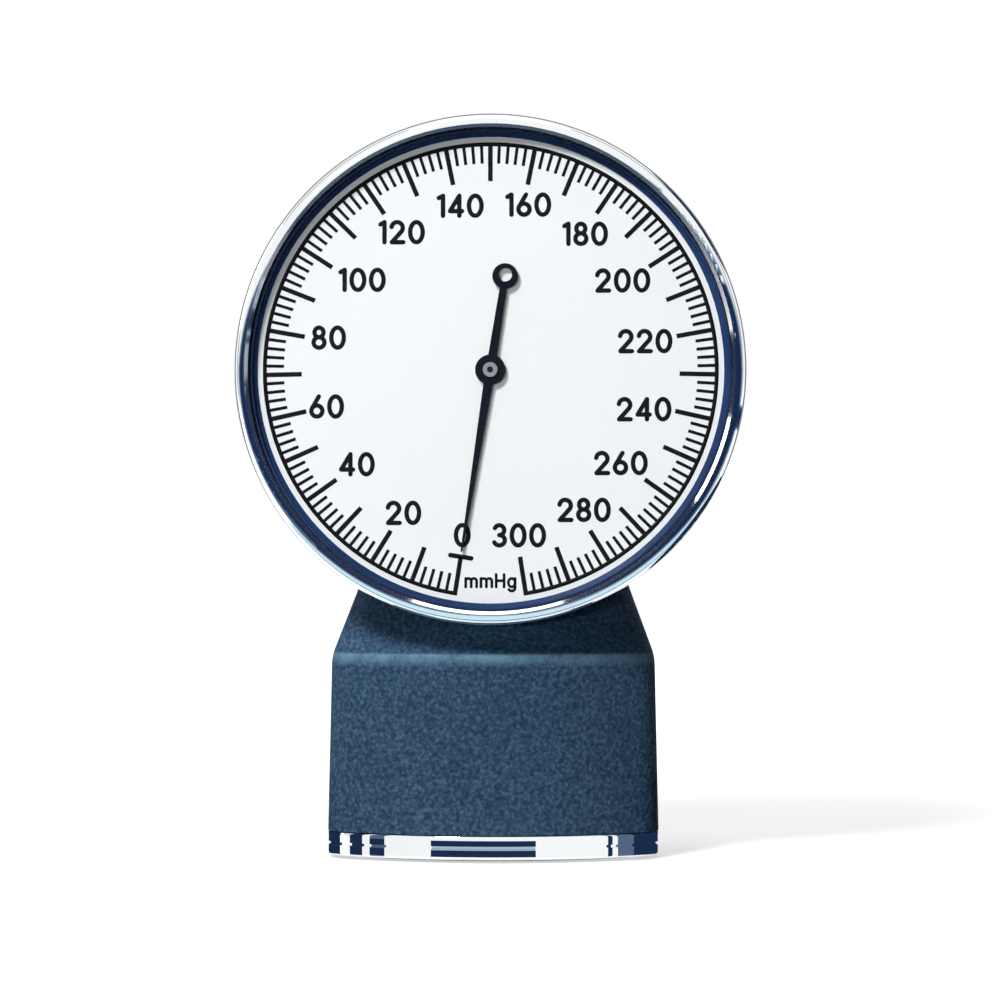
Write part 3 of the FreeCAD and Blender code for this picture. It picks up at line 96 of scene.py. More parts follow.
class Finish:
    """A material with one Principled shader and short calls for the nodes that feed it."""

    def __init__(self, name, **sockets):
        self.material = bpy.data.materials.new(name)
        self.material.use_nodes = True
        self.tree = self.material.node_tree
        self.shader = self.tree.nodes["Principled BSDF"]
        for socket, value in sockets.items():
            self.shader.inputs[socket.replace("_", " ")].default_value = value
        self.place = self.add("ShaderNodeTexCoord").outputs["Object"]

    def add(self, kind, **settings):
        made = self.tree.nodes.new(kind)
        for name, value in settings.items():
            setattr(made, name, value)
        return made

    def feed(self, socket, source):
        self.tree.links.new(source, socket)

    def stretched(self, scale):
        mapping = self.add("ShaderNodeMapping")
        self.feed(mapping.inputs["Vector"], self.place)
        mapping.inputs["Scale"].default_value = scale
        return mapping.outputs["Vector"]

    def noise(self, scale, detail=3.0, roughness=0.5, place=None):
        made = self.add("ShaderNodeTexNoise")
        self.feed(made.inputs["Vector"], place or self.place)
        made.inputs["Scale"].default_value = scale
        made.inputs["Detail"].default_value = detail
        made.inputs["Roughness"].default_value = roughness
        return made.outputs["Fac"]

    def cells(self, scale, softness=0.6):
        made = self.add("ShaderNodeTexVoronoi", feature="SMOOTH_F1")
        self.feed(made.inputs["Vector"], self.place)
        made.inputs["Scale"].default_value = scale
        made.inputs["Smoothness"].default_value = softness
        return made.outputs["Distance"]

    def between(self, source, low, high, start=0.3, end=0.7):
        made = self.add("ShaderNodeMapRange")
        self.feed(made.inputs["Value"], source)
        made.inputs["From Min"].default_value = start
        made.inputs["From Max"].default_value = end
        made.inputs["To Min"].default_value = low
        made.inputs["To Max"].default_value = high
        return made.outputs["Result"]

    def shades(self, source, *stops):
        made = self.add("ShaderNodeValToRGB")
        self.feed(made.inputs["Fac"], source)
        ramp = made.color_ramp.elements
        while len(ramp) < len(stops):
            ramp.new(0.5)
        for element, (spot, colour) in zip(ramp, stops):
            element.position = spot
            element.color = (*colour, 1)
        return made.outputs["Color"]

    def summed(self, first, second, share):
        made = self.add("ShaderNodeMath", operation="MULTIPLY_ADD")
        self.feed(made.inputs[0], second)
        made.inputs[1].default_value = share
        self.feed(made.inputs[2], first)
        return made.outputs["Value"]

    def product(self, first, second):
        made = self.add("ShaderNodeMath", operation="MULTIPLY")
        self.feed(made.inputs[0], first)
        self.feed(made.inputs[1], second)
        return made.outputs["Value"]

    def mixed(self, share, under, over):
        """One colour over another by a share; the upper one is given in numbers."""
        made = self.add("ShaderNodeMix", data_type="RGBA")
        self.feed(made.inputs["Factor"], share)
        self.feed(made.inputs["A"], under)
        made.inputs["B"].default_value = (*over, 1)
        return made.outputs["Result"]

    def height(self):
        made = self.add("ShaderNodeSeparateXYZ")
        self.feed(made.inputs["Vector"], self.place)
        return made.outputs["Z"]

    def raised(self, height, strength, distance, under=None):
        made = self.add("ShaderNodeBump")
        self.feed(made.inputs["Height"], height)
        made.inputs["Strength"].default_value = strength
        made.inputs["Distance"].default_value = distance
        if under:
            self.feed(made.inputs["Normal"], under)
        return made.outputs["Normal"]

    def colour(self, source):
        self.feed(self.shader.inputs["Base Color"], source)

    def roughness(self, source):
        self.feed(self.shader.inputs["Roughness"], source)

    def normal(self, source):
        self.feed(self.shader.inputs["Normal"], source)


# Painted highlight along the shoulder's edge: its height, how far it reaches above and below, and
# its paler colour
SHOULDER_EDGE = 26.9 * MM
HIGHLIGHT_ABOVE = 0.3 * MM
HIGHLIGHT_BELOW = 1.6 * MM
HIGHLIGHT_SLATE = (0.17, 0.32, 0.45)


def grained_slate():
    """Moulded slate-blue plastic with a pebbled grain, and a painted highlight: a paler band along
    the shoulder's edge.
    """
    f = Finish("grained_slate", Specular_IOR_Level=0.03)
    pebbles = f.cells(1900, softness=0.35)
    lumps = f.noise(1800, detail=2.0, roughness=0.6)
    fine = f.noise(4200, detail=3.0, roughness=0.6)
    cloud = f.noise(38, detail=4.0, roughness=0.55)
    grain = f.summed(lumps, pebbles, share=-0.4)
    ground = f.shades(
        f.summed(grain, cloud, share=0.2),
        (0.2, (0.0242, 0.054, 0.101)),
        (0.42, (0.0442, 0.094, 0.168)),
        (0.62, (0.0795, 0.153, 0.243)),
    )
    height = f.height()
    # Painted highlight: a paler colour mixed in unevenly along the shoulder's edge
    rising = f.between(height, 0, 1, start=SHOULDER_EDGE - HIGHLIGHT_BELOW, end=SHOULDER_EDGE)
    falling = f.between(height, 1, 0, start=SHOULDER_EDGE, end=SHOULDER_EDGE + HIGHLIGHT_ABOVE)
    patches = f.noise(420, detail=3.0, roughness=0.6)
    patchy = f.between(patches, low=0.35, high=1, start=0.3, end=0.6)
    painted_highlight = f.product(f.product(rising, falling), patchy)
    f.colour(f.mixed(painted_highlight, ground, HIGHLIGHT_SLATE))
    uneven = f.summed(fine, cloud, share=0.5)
    f.roughness(f.between(uneven, low=0.32, high=0.45, start=0.5, end=0.95))
    knobs = f.raised(grain, strength=0.9, distance=0.12 * MM)
    f.normal(f.raised(fine, strength=0.2, distance=0.03 * MM, under=knobs))
    return f.material


def plated(name, tint, shine):
    """Bright plating with faint polishing lines and a breath of haze, sharper near the foot."""
    f = Finish(name, Metallic=1.0)
    haze = f.noise(55, detail=3.0, roughness=0.5)
    lines = f.noise(260, detail=2.0, roughness=0.6, place=f.stretched((1.0, 1.0, 14.0)))
    pale = tuple(min(1.0, c * 1.03) for c in tint)
    deep = tuple(c * 0.96 for c in tint)
    f.colour(f.shades(haze, (0.3, deep), (0.7, pale)))
    low = f.between(f.height(), low=shine, high=shine * 3, start=5 * MM, end=30 * MM)
    uneven = f.summed(haze, lines, share=0.5)
    f.roughness(f.summed(low, uneven, share=shine))
    f.normal(f.raised(lines, strength=0.002, distance=0.02 * MM))
    return f.material


def satin_navy():
    """The ring between dial and lens: satin paint, a little uneven in tone."""
    f = Finish("satin_navy", Specular_IOR_Level=0.08)
    cloud = f.noise(120, detail=3.0, roughness=0.5)
    fine = f.noise(2600, detail=2.0, roughness=0.5)
    f.colour(f.shades(cloud, (0.25, (0.011, 0.031, 0.098)), (0.75, (0.02, 0.054, 0.165))))
    f.roughness(f.between(fine, low=0.28, high=0.44))
    f.normal(f.raised(fine, strength=0.12, distance=0.02 * MM))
    return f.material


def dial_enamel():
    """White dial ground with the faint tooth of screen-printed enamel."""
    f = Finish("dial_enamel", Specular_IOR_Level=0.3)
    cloud = f.noise(60, detail=3.0, roughness=0.5)
    fine = f.noise(3800, detail=2.0, roughness=0.6)
    f.colour(f.shades(cloud, (0.3, (0.885, 0.89, 0.895)), (0.7, (0.905, 0.908, 0.91))))
    f.roughness(f.between(fine, low=0.48, high=0.62))
    f.normal(f.raised(fine, strength=0.06, distance=0.01 * MM))
    return f.material


def dial_ink():
    f = Finish("dial_ink", Specular_IOR_Level=0.1)
    fine = f.noise(2400, detail=3.0, roughness=0.6)
    f.colour(f.shades(fine, (0.3, (0.002, 0.002, 0.003)), (0.7, (0.005, 0.005, 0.006))))
    f.roughness(f.between(fine, low=0.5, high=0.7))
    f.normal(f.raised(fine, strength=0.1, distance=0.01 * MM))
    return f.material


def pointer_enamel():
    """Dark blue-black enamel, a touch worn."""
    f = Finish("pointer_enamel", Specular_IOR_Level=0.06)
    cloud = f.noise(300, detail=3.0, roughness=0.6)
    fine = f.noise(2800, detail=2.0, roughness=0.5)
    f.colour(f.shades(cloud, (0.3, (0.002, 0.003, 0.008)), (0.7, (0.004, 0.006, 0.015))))
    f.roughness(f.between(fine, low=0.3, high=0.48))
    f.normal(f.raised(fine, strength=0.1, distance=0.02 * MM))
    return f.material


def machined(name, tint, low, high, rings=220.0):
    """Turned or cut metal: fine tool lines, uneven shine and a slight tarnish."""
    f = Finish(name, Metallic=1.0)
    tarnish = f.noise(90, detail=4.0, roughness=0.6)
    lines = f.noise(rings, detail=3.0, roughness=0.7, place=f.stretched((1.0, 18.0, 1.0)))
    deep = tuple(c * 0.72 for c in tint)
    f.colour(f.shades(tarnish, (0.25, deep), (0.65, tint)))
    uneven = f.summed(tarnish, lines, share=0.6)
    f.roughness(f.between(uneven, low, high, start=0.5, end=1.1))
    f.normal(f.raised(lines, strength=0.08, distance=0.03 * MM))
    return f.material


def cast_iron():
    f = Finish("cast_iron", Metallic=0.85)
    lumps = f.noise(420, detail=5.0, roughness=0.65)
    bloom = f.noise(70, detail=3.0, roughness=0.6)
    f.colour(f.shades(bloom, (0.3, (0.05, 0.048, 0.046)), (0.7, (0.12, 0.115, 0.11))))
    f.roughness(f.between(lumps, low=0.5, high=0.8))
    f.normal(f.raised(lumps, strength=0.5, distance=0.1 * MM))
    return f.material


def soft_rubber():
    f = Finish("soft_rubber", Specular_IOR_Level=0.35)
    dust = f.noise(140, detail=4.0, roughness=0.6)
    fine = f.noise(2200, detail=3.0, roughness=0.6)
    f.colour(f.shades(dust, (0.3, (0.012, 0.012, 0.013)), (0.75, (0.03, 0.03, 0.032))))
    f.roughness(f.between(fine, low=0.62, high=0.85))
    f.normal(f.raised(fine, strength=0.3, distance=0.03 * MM))
    return f.material


PANE_IOR = 1.2
PANE_TINT = (0.985, 0.992, 0.995, 1)
PANE_ROUGHNESS = (0.015, 0.05)
PANE_SMEAR_SCALE = 45
PANE_SMEAR_DETAIL = 3


def clear_pane():
    """A clear lens: what is behind it shows, and its outer faces mirror a little."""
    material = bpy.data.materials.new("clear_pane")
    material.use_nodes = True
    tree = material.node_tree
    tree.nodes.clear()
    output = tree.nodes.new("ShaderNodeOutputMaterial")
    mix = tree.nodes.new("ShaderNodeMixShader")
    through = tree.nodes.new("ShaderNodeBsdfTransparent")
    mirror = tree.nodes.new("ShaderNodeBsdfGlossy")
    edge = tree.nodes.new("ShaderNodeFresnel")
    inside = tree.nodes.new("ShaderNodeNewGeometry")
    outside = tree.nodes.new("ShaderNodeMath")
    outside.operation = "SUBTRACT"
    outside.inputs[0].default_value = 1
    share = tree.nodes.new("ShaderNodeMath")
    share.operation = "MULTIPLY"
    place = tree.nodes.new("ShaderNodeTexCoord")
    smear = tree.nodes.new("ShaderNodeTexNoise")
    spread = tree.nodes.new("ShaderNodeMapRange")
    edge.inputs["IOR"].default_value = PANE_IOR
    through.inputs["Color"].default_value = PANE_TINT
    smear.inputs["Scale"].default_value = PANE_SMEAR_SCALE
    smear.inputs["Detail"].default_value = PANE_SMEAR_DETAIL
    spread.inputs["To Min"].default_value = PANE_ROUGHNESS[0]
    spread.inputs["To Max"].default_value = PANE_ROUGHNESS[1]
    link = tree.links.new
    link(place.outputs["Object"], smear.inputs["Vector"])
    link(smear.outputs["Fac"], spread.inputs["Value"])
    link(spread.outputs["Result"], mirror.inputs["Roughness"])
    link(inside.outputs["Backfacing"], outside.inputs[1])
    link(edge.outputs["Fac"], share.inputs[0])
    link(outside.outputs["Value"], share.inputs[1])
    link(share.outputs["Value"], mix.inputs["Fac"])
    link(through.outputs["BSDF"], mix.inputs[1])
    link(mirror.outputs["BSDF"], mix.inputs[2])
    link(mix.outputs["Shader"], output.inputs["Surface"])
    return material


FINISHES = {
    "chrome": plated("bright_chrome", (0.9, 0.925, 0.94), 0.02),
    "plated_brass": plated("satin_plating", (0.8, 0.81, 0.815), 0.12),
    "clear_lens": clear_pane(),
    "dial_white": dial_enamel(),
    "navy_ring": satin_navy(),
    "slate_plastic": grained_slate(),
    "pointer_black": pointer_enamel(),
    "bush_grey": machined("bush_steel", (0.2, 0.2, 0.19), 0.35, 0.55),
    "brass": machined("watch_brass", (0.75, 0.56, 0.25), 0.22, 0.42),
    "blued_steel": machined("blued_steel", (0.012, 0.014, 0.03), 0.3, 0.5),
    "steel": machined("screw_steel", (0.56, 0.57, 0.58), 0.25, 0.45),
    "ballast_iron": cast_iron(),
    "rubber": soft_rubber(),
}
INK_FINISH = dial_ink()

for part in frame["record"]["subparts"]:
    for slot in frame["nodes"][part["node"]].material_slots:
        slot.material = FINISHES[part["material_slot"]]


# ---------------------------------------------------------------- printed scale


def to_mesh(name, source):
    """Turns an evaluated object into a plain mesh object and removes the source."""
    ready = source.evaluated_get(bpy.context.evaluated_depsgraph_get())
    mesh = bpy.data.meshes.new_from_object(ready)
    mesh.name = name
    bpy.data.objects.remove(source)
    piece = bpy.data.objects.new(name, mesh)
    bpy.context.scene.collection.objects.link(piece)
    return piece


def print_on_dial(piece):
    """Lays a piece drawn on the dial's own axes, in millimetres, on the dial."""
    piece.data.transform(TO_DIAL @ Matrix.Scale(MM, 4))
    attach(piece, "stand")


class Recipe:
    """A node tree that makes a mesh, with named inputs for its sizes."""

    def __init__(self, name):
        self.tree = bpy.data.node_groups.new(name, "GeometryNodeTree")
        self.tree.interface.new_socket("Mesh", in_out="OUTPUT", socket_type="NodeSocketGeometry")
        self.sockets = {}
        self.entry = self.tree.nodes.new("NodeGroupInput")

    def size(self, name, kind="Float"):
        made = self.tree.interface.new_socket(
            name, in_out="INPUT", socket_type=f"NodeSocket{kind}"
        )
        self.sockets[name] = made.identifier
        return self.entry.outputs[name]

    def add(self, kind, *links, **settings):
        made = self.tree.nodes.new(kind)
        for name, value in settings.items():
            setattr(made, name, value)
        for socket, source in links:
            self.tree.links.new(source, made.inputs[socket])
        return made

    def close(self, geometry, material):
        real = self.add("GeometryNodeRealizeInstances", ("Geometry", geometry))
        inked = self.add("GeometryNodeSetMaterial", ("Geometry", real.outputs[0]))
        inked.inputs["Material"].default_value = material
        self.add("NodeGroupOutput", (0, inked.outputs[0]))

    def make(self, name, **sizes):
        holder = bpy.data.objects.new(name, bpy.data.meshes.new(name))
        bpy.context.scene.collection.objects.link(holder)
        modifier = holder.modifiers.new(name, "NODES")
        modifier.node_group = self.tree
        for size_name, value in sizes.items():
            modifier[self.sockets[size_name]] = value
        return to_mesh(name, holder)


def tick_recipe():
    """Ticks turned round the dial's middle, clockwise from zero; every skipped one is left out."""
    r = Recipe("scale_ticks")
    count = r.size("Count", "Int")
    step = r.size("Step")
    first = r.size("First")
    inner = r.size("Inner")
    outer = r.size("Outer")
    width = r.size("Width")
    ink = r.size("Ink")
    skip = r.size("Skip", "Int")
    length = r.add("ShaderNodeMath", (0, outer), (1, inner), operation="SUBTRACT")
    middle = r.add("ShaderNodeMath", (0, outer), (1, inner), operation="ADD")
    reach = r.add("ShaderNodeMath", (0, middle.outputs[0]), operation="MULTIPLY")
    reach.inputs[1].default_value = -0.5
    rise = r.add("ShaderNodeMath", (0, ink), operation="MULTIPLY")
    rise.inputs[1].default_value = 0.5
    extent = r.add("ShaderNodeCombineXYZ", ("X", width), ("Y", length.outputs[0]), ("Z", ink))
    offset = r.add("ShaderNodeCombineXYZ", ("Y", reach.outputs[0]), ("Z", rise.outputs[0]))
    bar = r.add("GeometryNodeMeshCube", ("Size", extent.outputs[0]))
    moved = r.add(
        "GeometryNodeTransform",
        ("Geometry", bar.outputs["Mesh"]),
        ("Translation", offset.outputs[0]),
    )
    index = r.add("GeometryNodeInputIndex")
    turn = r.add("ShaderNodeMath", (0, index.outputs[0]), (1, step), operation="MULTIPLY")
    whole = r.add("ShaderNodeMath", (0, turn.outputs[0]), (1, first), operation="ADD")
    back = r.add("ShaderNodeMath", (0, whole.outputs[0]), operation="MULTIPLY")
    back.inputs[1].default_value = -math.pi / 180
    spin = r.add("ShaderNodeCombineXYZ", ("Z", back.outputs[0]))
    place = r.add("ShaderNodeMath", (0, index.outputs[0]), (1, skip), operation="MODULO")
    chosen = r.add("ShaderNodeMath", (0, place.outputs[0]), operation="GREATER_THAN")
    chosen.inputs[1].default_value = 0.5
    every = r.add("ShaderNodeMath", (0, skip), operation="LESS_THAN")
    every.inputs[1].default_value = 1.5
    kept = r.add(
        "ShaderNodeMath", (0, chosen.outputs[0]), (1, every.outputs[0]), operation="MAXIMUM"
    )
    spots = r.add("GeometryNodeMeshLine", ("Count", count))
    spots.inputs["Offset"].default_value = (0, 0, 0)
    copies = r.add(
        "GeometryNodeInstanceOnPoints",
        ("Points", spots.outputs["Mesh"]),
        ("Instance", moved.outputs["Geometry"]),
        ("Rotation", spin.outputs[0]),
        ("Selection", kept.outputs[0]),
    )
    r.close(copies.outputs["Instances"], INK_FINISH)
    return r


def line_recipe():
    """The line round the scale, open between its end and zero."""
    r = Recipe("scale_line")
    radius = r.size("Radius")
    width = r.size("Width")
    ink = r.size("Ink")
    start = r.size("Start")
    sweep = r.size("Sweep")
    steps = r.size("Steps", "Int")
    bow = r.add(
        "GeometryNodeCurveArc",
        ("Resolution", steps),
        ("Radius", radius),
        ("Start Angle", start),
        ("Sweep Angle", sweep),
        mode="RADIUS",
    )
    section = r.add(
        "GeometryNodeCurvePrimitiveQuadrilateral", ("Width", width), ("Height", ink)
    )
    swept = r.add(
        "GeometryNodeCurveToMesh",
        ("Curve", bow.outputs["Curve"]),
        ("Profile Curve", section.outputs["Curve"]),
    )
    swept.inputs["Fill Caps"].default_value = True
    half = r.add("ShaderNodeMath", (0, ink), operation="MULTIPLY")
    half.inputs[1].default_value = 0.5
    up = r.add("ShaderNodeCombineXYZ", ("Z", half.outputs[0]))
    laid = r.add(
        "GeometryNodeTransform", ("Geometry", swept.outputs["Mesh"]), ("Translation", up.outputs[0])
    )
    r.close(laid.outputs["Geometry"], INK_FINISH)
    return r


ticks = tick_recipe()
major_step = SWEEP * MAJOR_VALUE / FULL_SCALE
minor_step = SWEEP * MINOR_VALUE / FULL_SCALE
print_on_dial(
    ticks.make(
        "scale_ticks_of_ten",
        Count=FULL_SCALE // MAJOR_VALUE + 1,
        Step=major_step,
        First=ZERO_ANGLE,
        Inner=MAJOR_INNER,
        Outer=SCALE_RADIUS - SCALE_LINE,
        Width=MAJOR_WIDTH,
        Ink=INK,
        Skip=1,
    )
)
print_on_dial(
    ticks.make(
        "scale_ticks_of_two",
        Count=FULL_SCALE // MINOR_VALUE + 1,
        Step=minor_step,
        First=ZERO_ANGLE,
        Inner=MINOR_INNER,
        Outer=SCALE_RADIUS - SCALE_LINE,
        Width=MINOR_WIDTH,
        Ink=INK,
        Skip=MAJOR_VALUE // MINOR_VALUE,
    )
)
line_end = math.degrees(MAJOR_WIDTH / 2 / SCALE_RADIUS)
print_on_dial(
    line_recipe().make(
        "scale_line",
        Radius=SCALE_RADIUS - SCALE_LINE / 2,
        Width=SCALE_LINE,
        Ink=INK,
        Start=math.radians(-90 + ZERO_ANGLE - line_end),
        Sweep=math.radians(SWEEP + line_end * 2),
        Steps=LINE_STEPS,
    )
)


# ---------------------------------------------------------------- numerals and unit


def bow(x, y, across, up, start, end, steps=22):
    """Points on an arc, in degrees, counter-clockwise where end is larger."""
    points = []
    for i in range(steps + 1):
        angle = math.radians(start + (end - start) * i / steps)
        points.append((x + across * math.cos(angle), y + up * math.sin(angle)))
    return points


# Each sign is drawn in strokes, as shares of its height; an oval's last point meets its first.
SIGNS = {
    "0": (0.69, [bow(0.345, 0.5, 0.2575, 0.4125, 0, 360, 40)]),
    "1": (0.34, [[(0.08, 0.82), (0.25, 0.9125)], [(0.25, 0.9125), (0.25, 0.0875)]]),
    "2": (
        0.66,
        [
            bow(0.32, 0.68, 0.2325, 0.2325, 172, -38) + [(0.1, 0.0875)],
            [(0.1, 0.0875), (0.5725, 0.0875)],
        ],
    ),
    "3": (
        0.6,
        [
            bow(0.285, 0.71, 0.2, 0.2025, 155, -90),
            bow(0.285, 0.2975, 0.2275, 0.21, 90, -155),
        ],
    ),
    "4": (
        0.67,
        [
            [(0.47, 0.9125), (0.0875, 0.28)],
            [(0.0875, 0.28), (0.58, 0.28)],
            [(0.47, 0.9125), (0.47, 0.0875)],
        ],
    ),
    "6": (
        0.63,
        [bow(0.315, 0.315, 0.2275, 0.2275, 0, 360, 36), [(0.397, 0.9125), (0.118, 0.43)]],
    ),
    "8": (
        0.62,
        [
            bow(0.31, 0.715, 0.185, 0.1975, 0, 360, 32),
            bow(0.31, 0.3025, 0.2225, 0.215, 0, 360, 36),
        ],
    ),
    "m": (
        0.9,
        [
            [(0.0875, 0.65), (0.0875, 0.0875)],
            bow(0.2688, 0.47, 0.1813, 0.18, 180, 0, 14) + [(0.45, 0.0875)],
            bow(0.6313, 0.47, 0.1813, 0.18, 180, 0, 14) + [(0.8125, 0.0875)],
        ],
    ),
    "H": (
        0.7,
        [
            [(0.0875, 0.0875), (0.0875, 0.9125)],
            [(0.6125, 0.0875), (0.6125, 0.9125)],
            [(0.0875, 0.5), (0.6125, 0.5)],
        ],
    ),
    "g": (
        0.62,
        [
            bow(0.31, 0.37, 0.2225, 0.28, 0, 360, 32),
            [(0.5325, 0.65), (0.5325, 0.02)] + bow(0.31, 0.02, 0.2225, 0.2, 0, -150, 16)[1:],
        ],
    ),
}


def stroke_outlines(line, half):
    """Flat outlines that together cover a stroke with round ends."""
    outlines = []
    count = len(line)
    ring = math.dist(line[0], line[-1]) < 1e-6
    left = []
    right = []
    for i, (x, y) in enumerate(line):
        before = line[i - 1] if i else (line[-2] if ring else line[0])
        after = line[i + 1] if i + 1 < count else (line[1] if ring else line[-1])
        along = Vector((after[0] - before[0], after[1] - before[1])).normalized()
        left.append((x - along.y * half, y + along.x * half))
        right.append((x + along.y * half, y - along.x * half))
    for i in range(count - 1):
        outlines.append([left[i], right[i], right[i + 1], left[i + 1]])
    if not ring:
        for x, y in (line[0], line[-1]):
            outlines.append(bow(x, y, half, half, 0, 360, 20)[:-1])
    return outlines


def flat_sign(strokes, half):
    """One sign as points and triangles, its strokes merged."""
    points = []
    faces = []
    for line in strokes:
        for outline in stroke_outlines(line, half):
            start = len(points)
            points += [Vector(p) for p in outline]
            faces.append(list(range(start, len(points))))
    merged = delaunay_2d_cdt(points, [], faces, 0, 1e-5)
    kept = [face for face, origin in zip(merged[2], merged[5]) if origin]
    return merged[0], kept


DRAWN = {sign: flat_sign(strokes, STROKE_SHARE / 2) for sign, (_, strokes) in SIGNS.items()}
SIGN_GAP_SHARE = 0.11


def write(bm, text, height, x, y):
    """Sets a word in ink with its middle at a place on the dial."""
    width = sum(SIGNS[s][0] for s in text) + SIGN_GAP_SHARE * (len(text) - 1)
    cursor = x - width * height / 2
    base = y - height / 2
    for sign in text:
        points, faces = DRAWN[sign]
        spots = [(cursor + p.x * height, base + p.y * height) for p in points]
        low = [bm.verts.new((px, py, 0)) for px, py in spots]
        high = [bm.verts.new((px, py, INK)) for px, py in spots]
        sides = {}
        for face in faces:
            a, b, c = face
            flip = (points[b] - points[a]).cross(points[c] - points[a]) < 0
            order = [a, c, b] if flip else [a, b, c]
            bm.faces.new([high[i] for i in order])
            bm.faces.new([low[i] for i in reversed(order)])
            for i in range(3):
                edge = (order[i], order[(i + 1) % 3])
                if sides.pop(edge[::-1], None) is None:
                    sides[edge] = True
        for a, b in sides:
            bm.faces.new([low[a], low[b], high[b], high[a]])
        cursor += (SIGNS[sign][0] + SIGN_GAP_SHARE) * height
    loose = [v for v in bm.verts if not v.link_faces]
    bmesh.ops.delete(bm, geom=loose, context="VERTS")


def inked_words(name, words, height):
    bm = bmesh.new()
    for text, (x, y) in words:
        write(bm, text, height, x, y)
    mesh = bpy.data.meshes.new(name)
    bm.to_mesh(mesh)
    bm.free()
    mesh.materials.append(INK_FINISH)
    piece = bpy.data.objects.new(name, mesh)
    bpy.context.scene.collection.objects.link(piece)
    print_on_dial(piece)


inked_words(
    "scale_numerals",
    [(str(value), place) for value, place in NUMERAL_PLACES.items()],
    NUMERAL_HEIGHT,
)
inked_words("scale_unit", [("mmHg", (0, -UNIT_DROP))], UNIT_HEIGHT)


def zero_bar():
    """The bar across the inner end of the zero tick."""
    bm = bmesh.new()
    bmesh.ops.create_cube(bm, size=1)
    bmesh.ops.scale(bm, vec=(ZERO_BAR_LENGTH, MAJOR_WIDTH, INK), verts=bm.verts)
    bmesh.ops.bevel(
        bm,
        geom=[e for e in bm.edges if abs(e.verts[0].co.z - e.verts[1].co.z) > INK / 2],
        offset=MAJOR_WIDTH / 5,
        segments=3,
        affect="EDGES",
    )
    bmesh.ops.translate(bm, vec=(0, -MAJOR_INNER, INK / 2), verts=bm.verts)
    turn = Matrix.Rotation(math.radians(-ZERO_ANGLE), 4, "Z")
    bmesh.ops.transform(bm, matrix=turn, verts=bm.verts)
    mesh = bpy.data.meshes.new("scale_zero_bar")
    bm.to_mesh(mesh)
    bm.free()
    mesh.materials.append(INK_FINISH)
    piece = bpy.data.objects.new("scale_zero_bar", mesh)
    bpy.context.scene.collection.objects.link(piece)
    print_on_dial(piece)


zero_bar()


# ---------------------------------------------------------------- studio

AIM = Vector((1.24, -13.0, 47.08)) * MM
DISTANCE = 450 * MM
AZIMUTH = math.radians(1.6)
ELEVATION = math.radians(-0.9)
back = Vector(
    (
        math.sin(AZIMUTH) * math.cos(ELEVATION),
        -math.cos(AZIMUTH) * math.cos(ELEVATION),
        math.sin(ELEVATION),
    )
)
EYE = AIM + back * DISTANCE


def sheet(name, corners, material, faces=None):
    mesh = bpy.data.meshes.new(name)
    mesh.from_pydata(corners, [], faces or [list(range(len(corners)))])
    mesh.materials.append(material)
    piece = bpy.data.objects.new(name, mesh)
    bpy.context.scene.collection.objects.link(piece)
    return piece


def seen_straight(tree):
    """One for what the eye sees straight, in metal or through the lens; none for stray light."""

    def math_node(operation, *sources):
        made = tree.nodes.new("ShaderNodeMath")
        made.operation = operation
        for socket, source in zip(made.inputs, sources):
            tree.links.new(source, socket)
        return made

    ray = tree.nodes.new("ShaderNodeLightPath").outputs
    seen = math_node("MAXIMUM", ray["Is Camera Ray"], ray["Is Glossy Ray"])
    shown = math_node("MAXIMUM", seen.outputs[0], ray["Is Transmission Ray"])
    early = math_node("LESS_THAN", ray["Diffuse Depth"])
    early.inputs[1].default_value = 0.5
    return math_node("MULTIPLY", shown.outputs[0], early.outputs[0]).outputs[0]


# Table: its tone for stray light and to the eye, and its glow near the gauge and far off
FLOOR_TONES = (0.12, 0.55)
FLOOR_GLOWS = (0.6, 1.0)
FLOOR_FADE = (0.08, 0.4)


def pale_floor():
    """A white table that keeps its shadow; it glows to the eye and throws little light."""
    material = bpy.data.materials.new("pale_floor")
    material.use_nodes = True
    tree = material.node_tree
    tree.nodes.clear()
    output = tree.nodes.new("ShaderNodeOutputMaterial")
    both = tree.nodes.new("ShaderNodeAddShader")
    paint = tree.nodes.new("ShaderNodeBsdfDiffuse")
    glow = tree.nodes.new("ShaderNodeEmission")
    strength = tree.nodes.new("ShaderNodeMath")
    strength.operation = "MULTIPLY"
    way = tree.nodes.new("ShaderNodeTexCoord")
    away = tree.nodes.new("ShaderNodeVectorMath")
    away.operation = "LENGTH"
    fade = tree.nodes.new("ShaderNodeMapRange")
    fade.inputs["From Min"].default_value = FLOOR_FADE[0]
    fade.inputs["From Max"].default_value = FLOOR_FADE[1]
    fade.inputs["To Min"].default_value = FLOOR_GLOWS[0]
    fade.inputs["To Max"].default_value = FLOOR_GLOWS[1]
    tone = tree.nodes.new("ShaderNodeMapRange")
    tone.inputs["To Min"].default_value = FLOOR_TONES[0]
    tone.inputs["To Max"].default_value = FLOOR_TONES[1]
    link = tree.links.new
    shown = seen_straight(tree)
    link(shown, tone.inputs["Value"])
    link(tone.outputs["Result"], paint.inputs["Color"])
    link(shown, strength.inputs[0])
    link(way.outputs["Object"], away.inputs[0])
    link(away.outputs["Value"], fade.inputs["Value"])
    link(fade.outputs["Result"], strength.inputs[1])
    link(strength.outputs[0], glow.inputs["Strength"])
    link(paint.outputs["BSDF"], both.inputs[0])
    link(glow.outputs["Emission"], both.inputs[1])
    link(both.outputs["Shader"], output.inputs["Surface"])
    return material


FLOOR_HALF = 6.0
sheet(
    "floor",
    [
        (-FLOOR_HALF, -FLOOR_HALF, 0),
        (FLOOR_HALF, -FLOOR_HALF, 0),
        (FLOOR_HALF, FLOOR_HALF, 0),
        (-FLOOR_HALF, FLOOR_HALF, 0),
    ],
    pale_floor(),
)


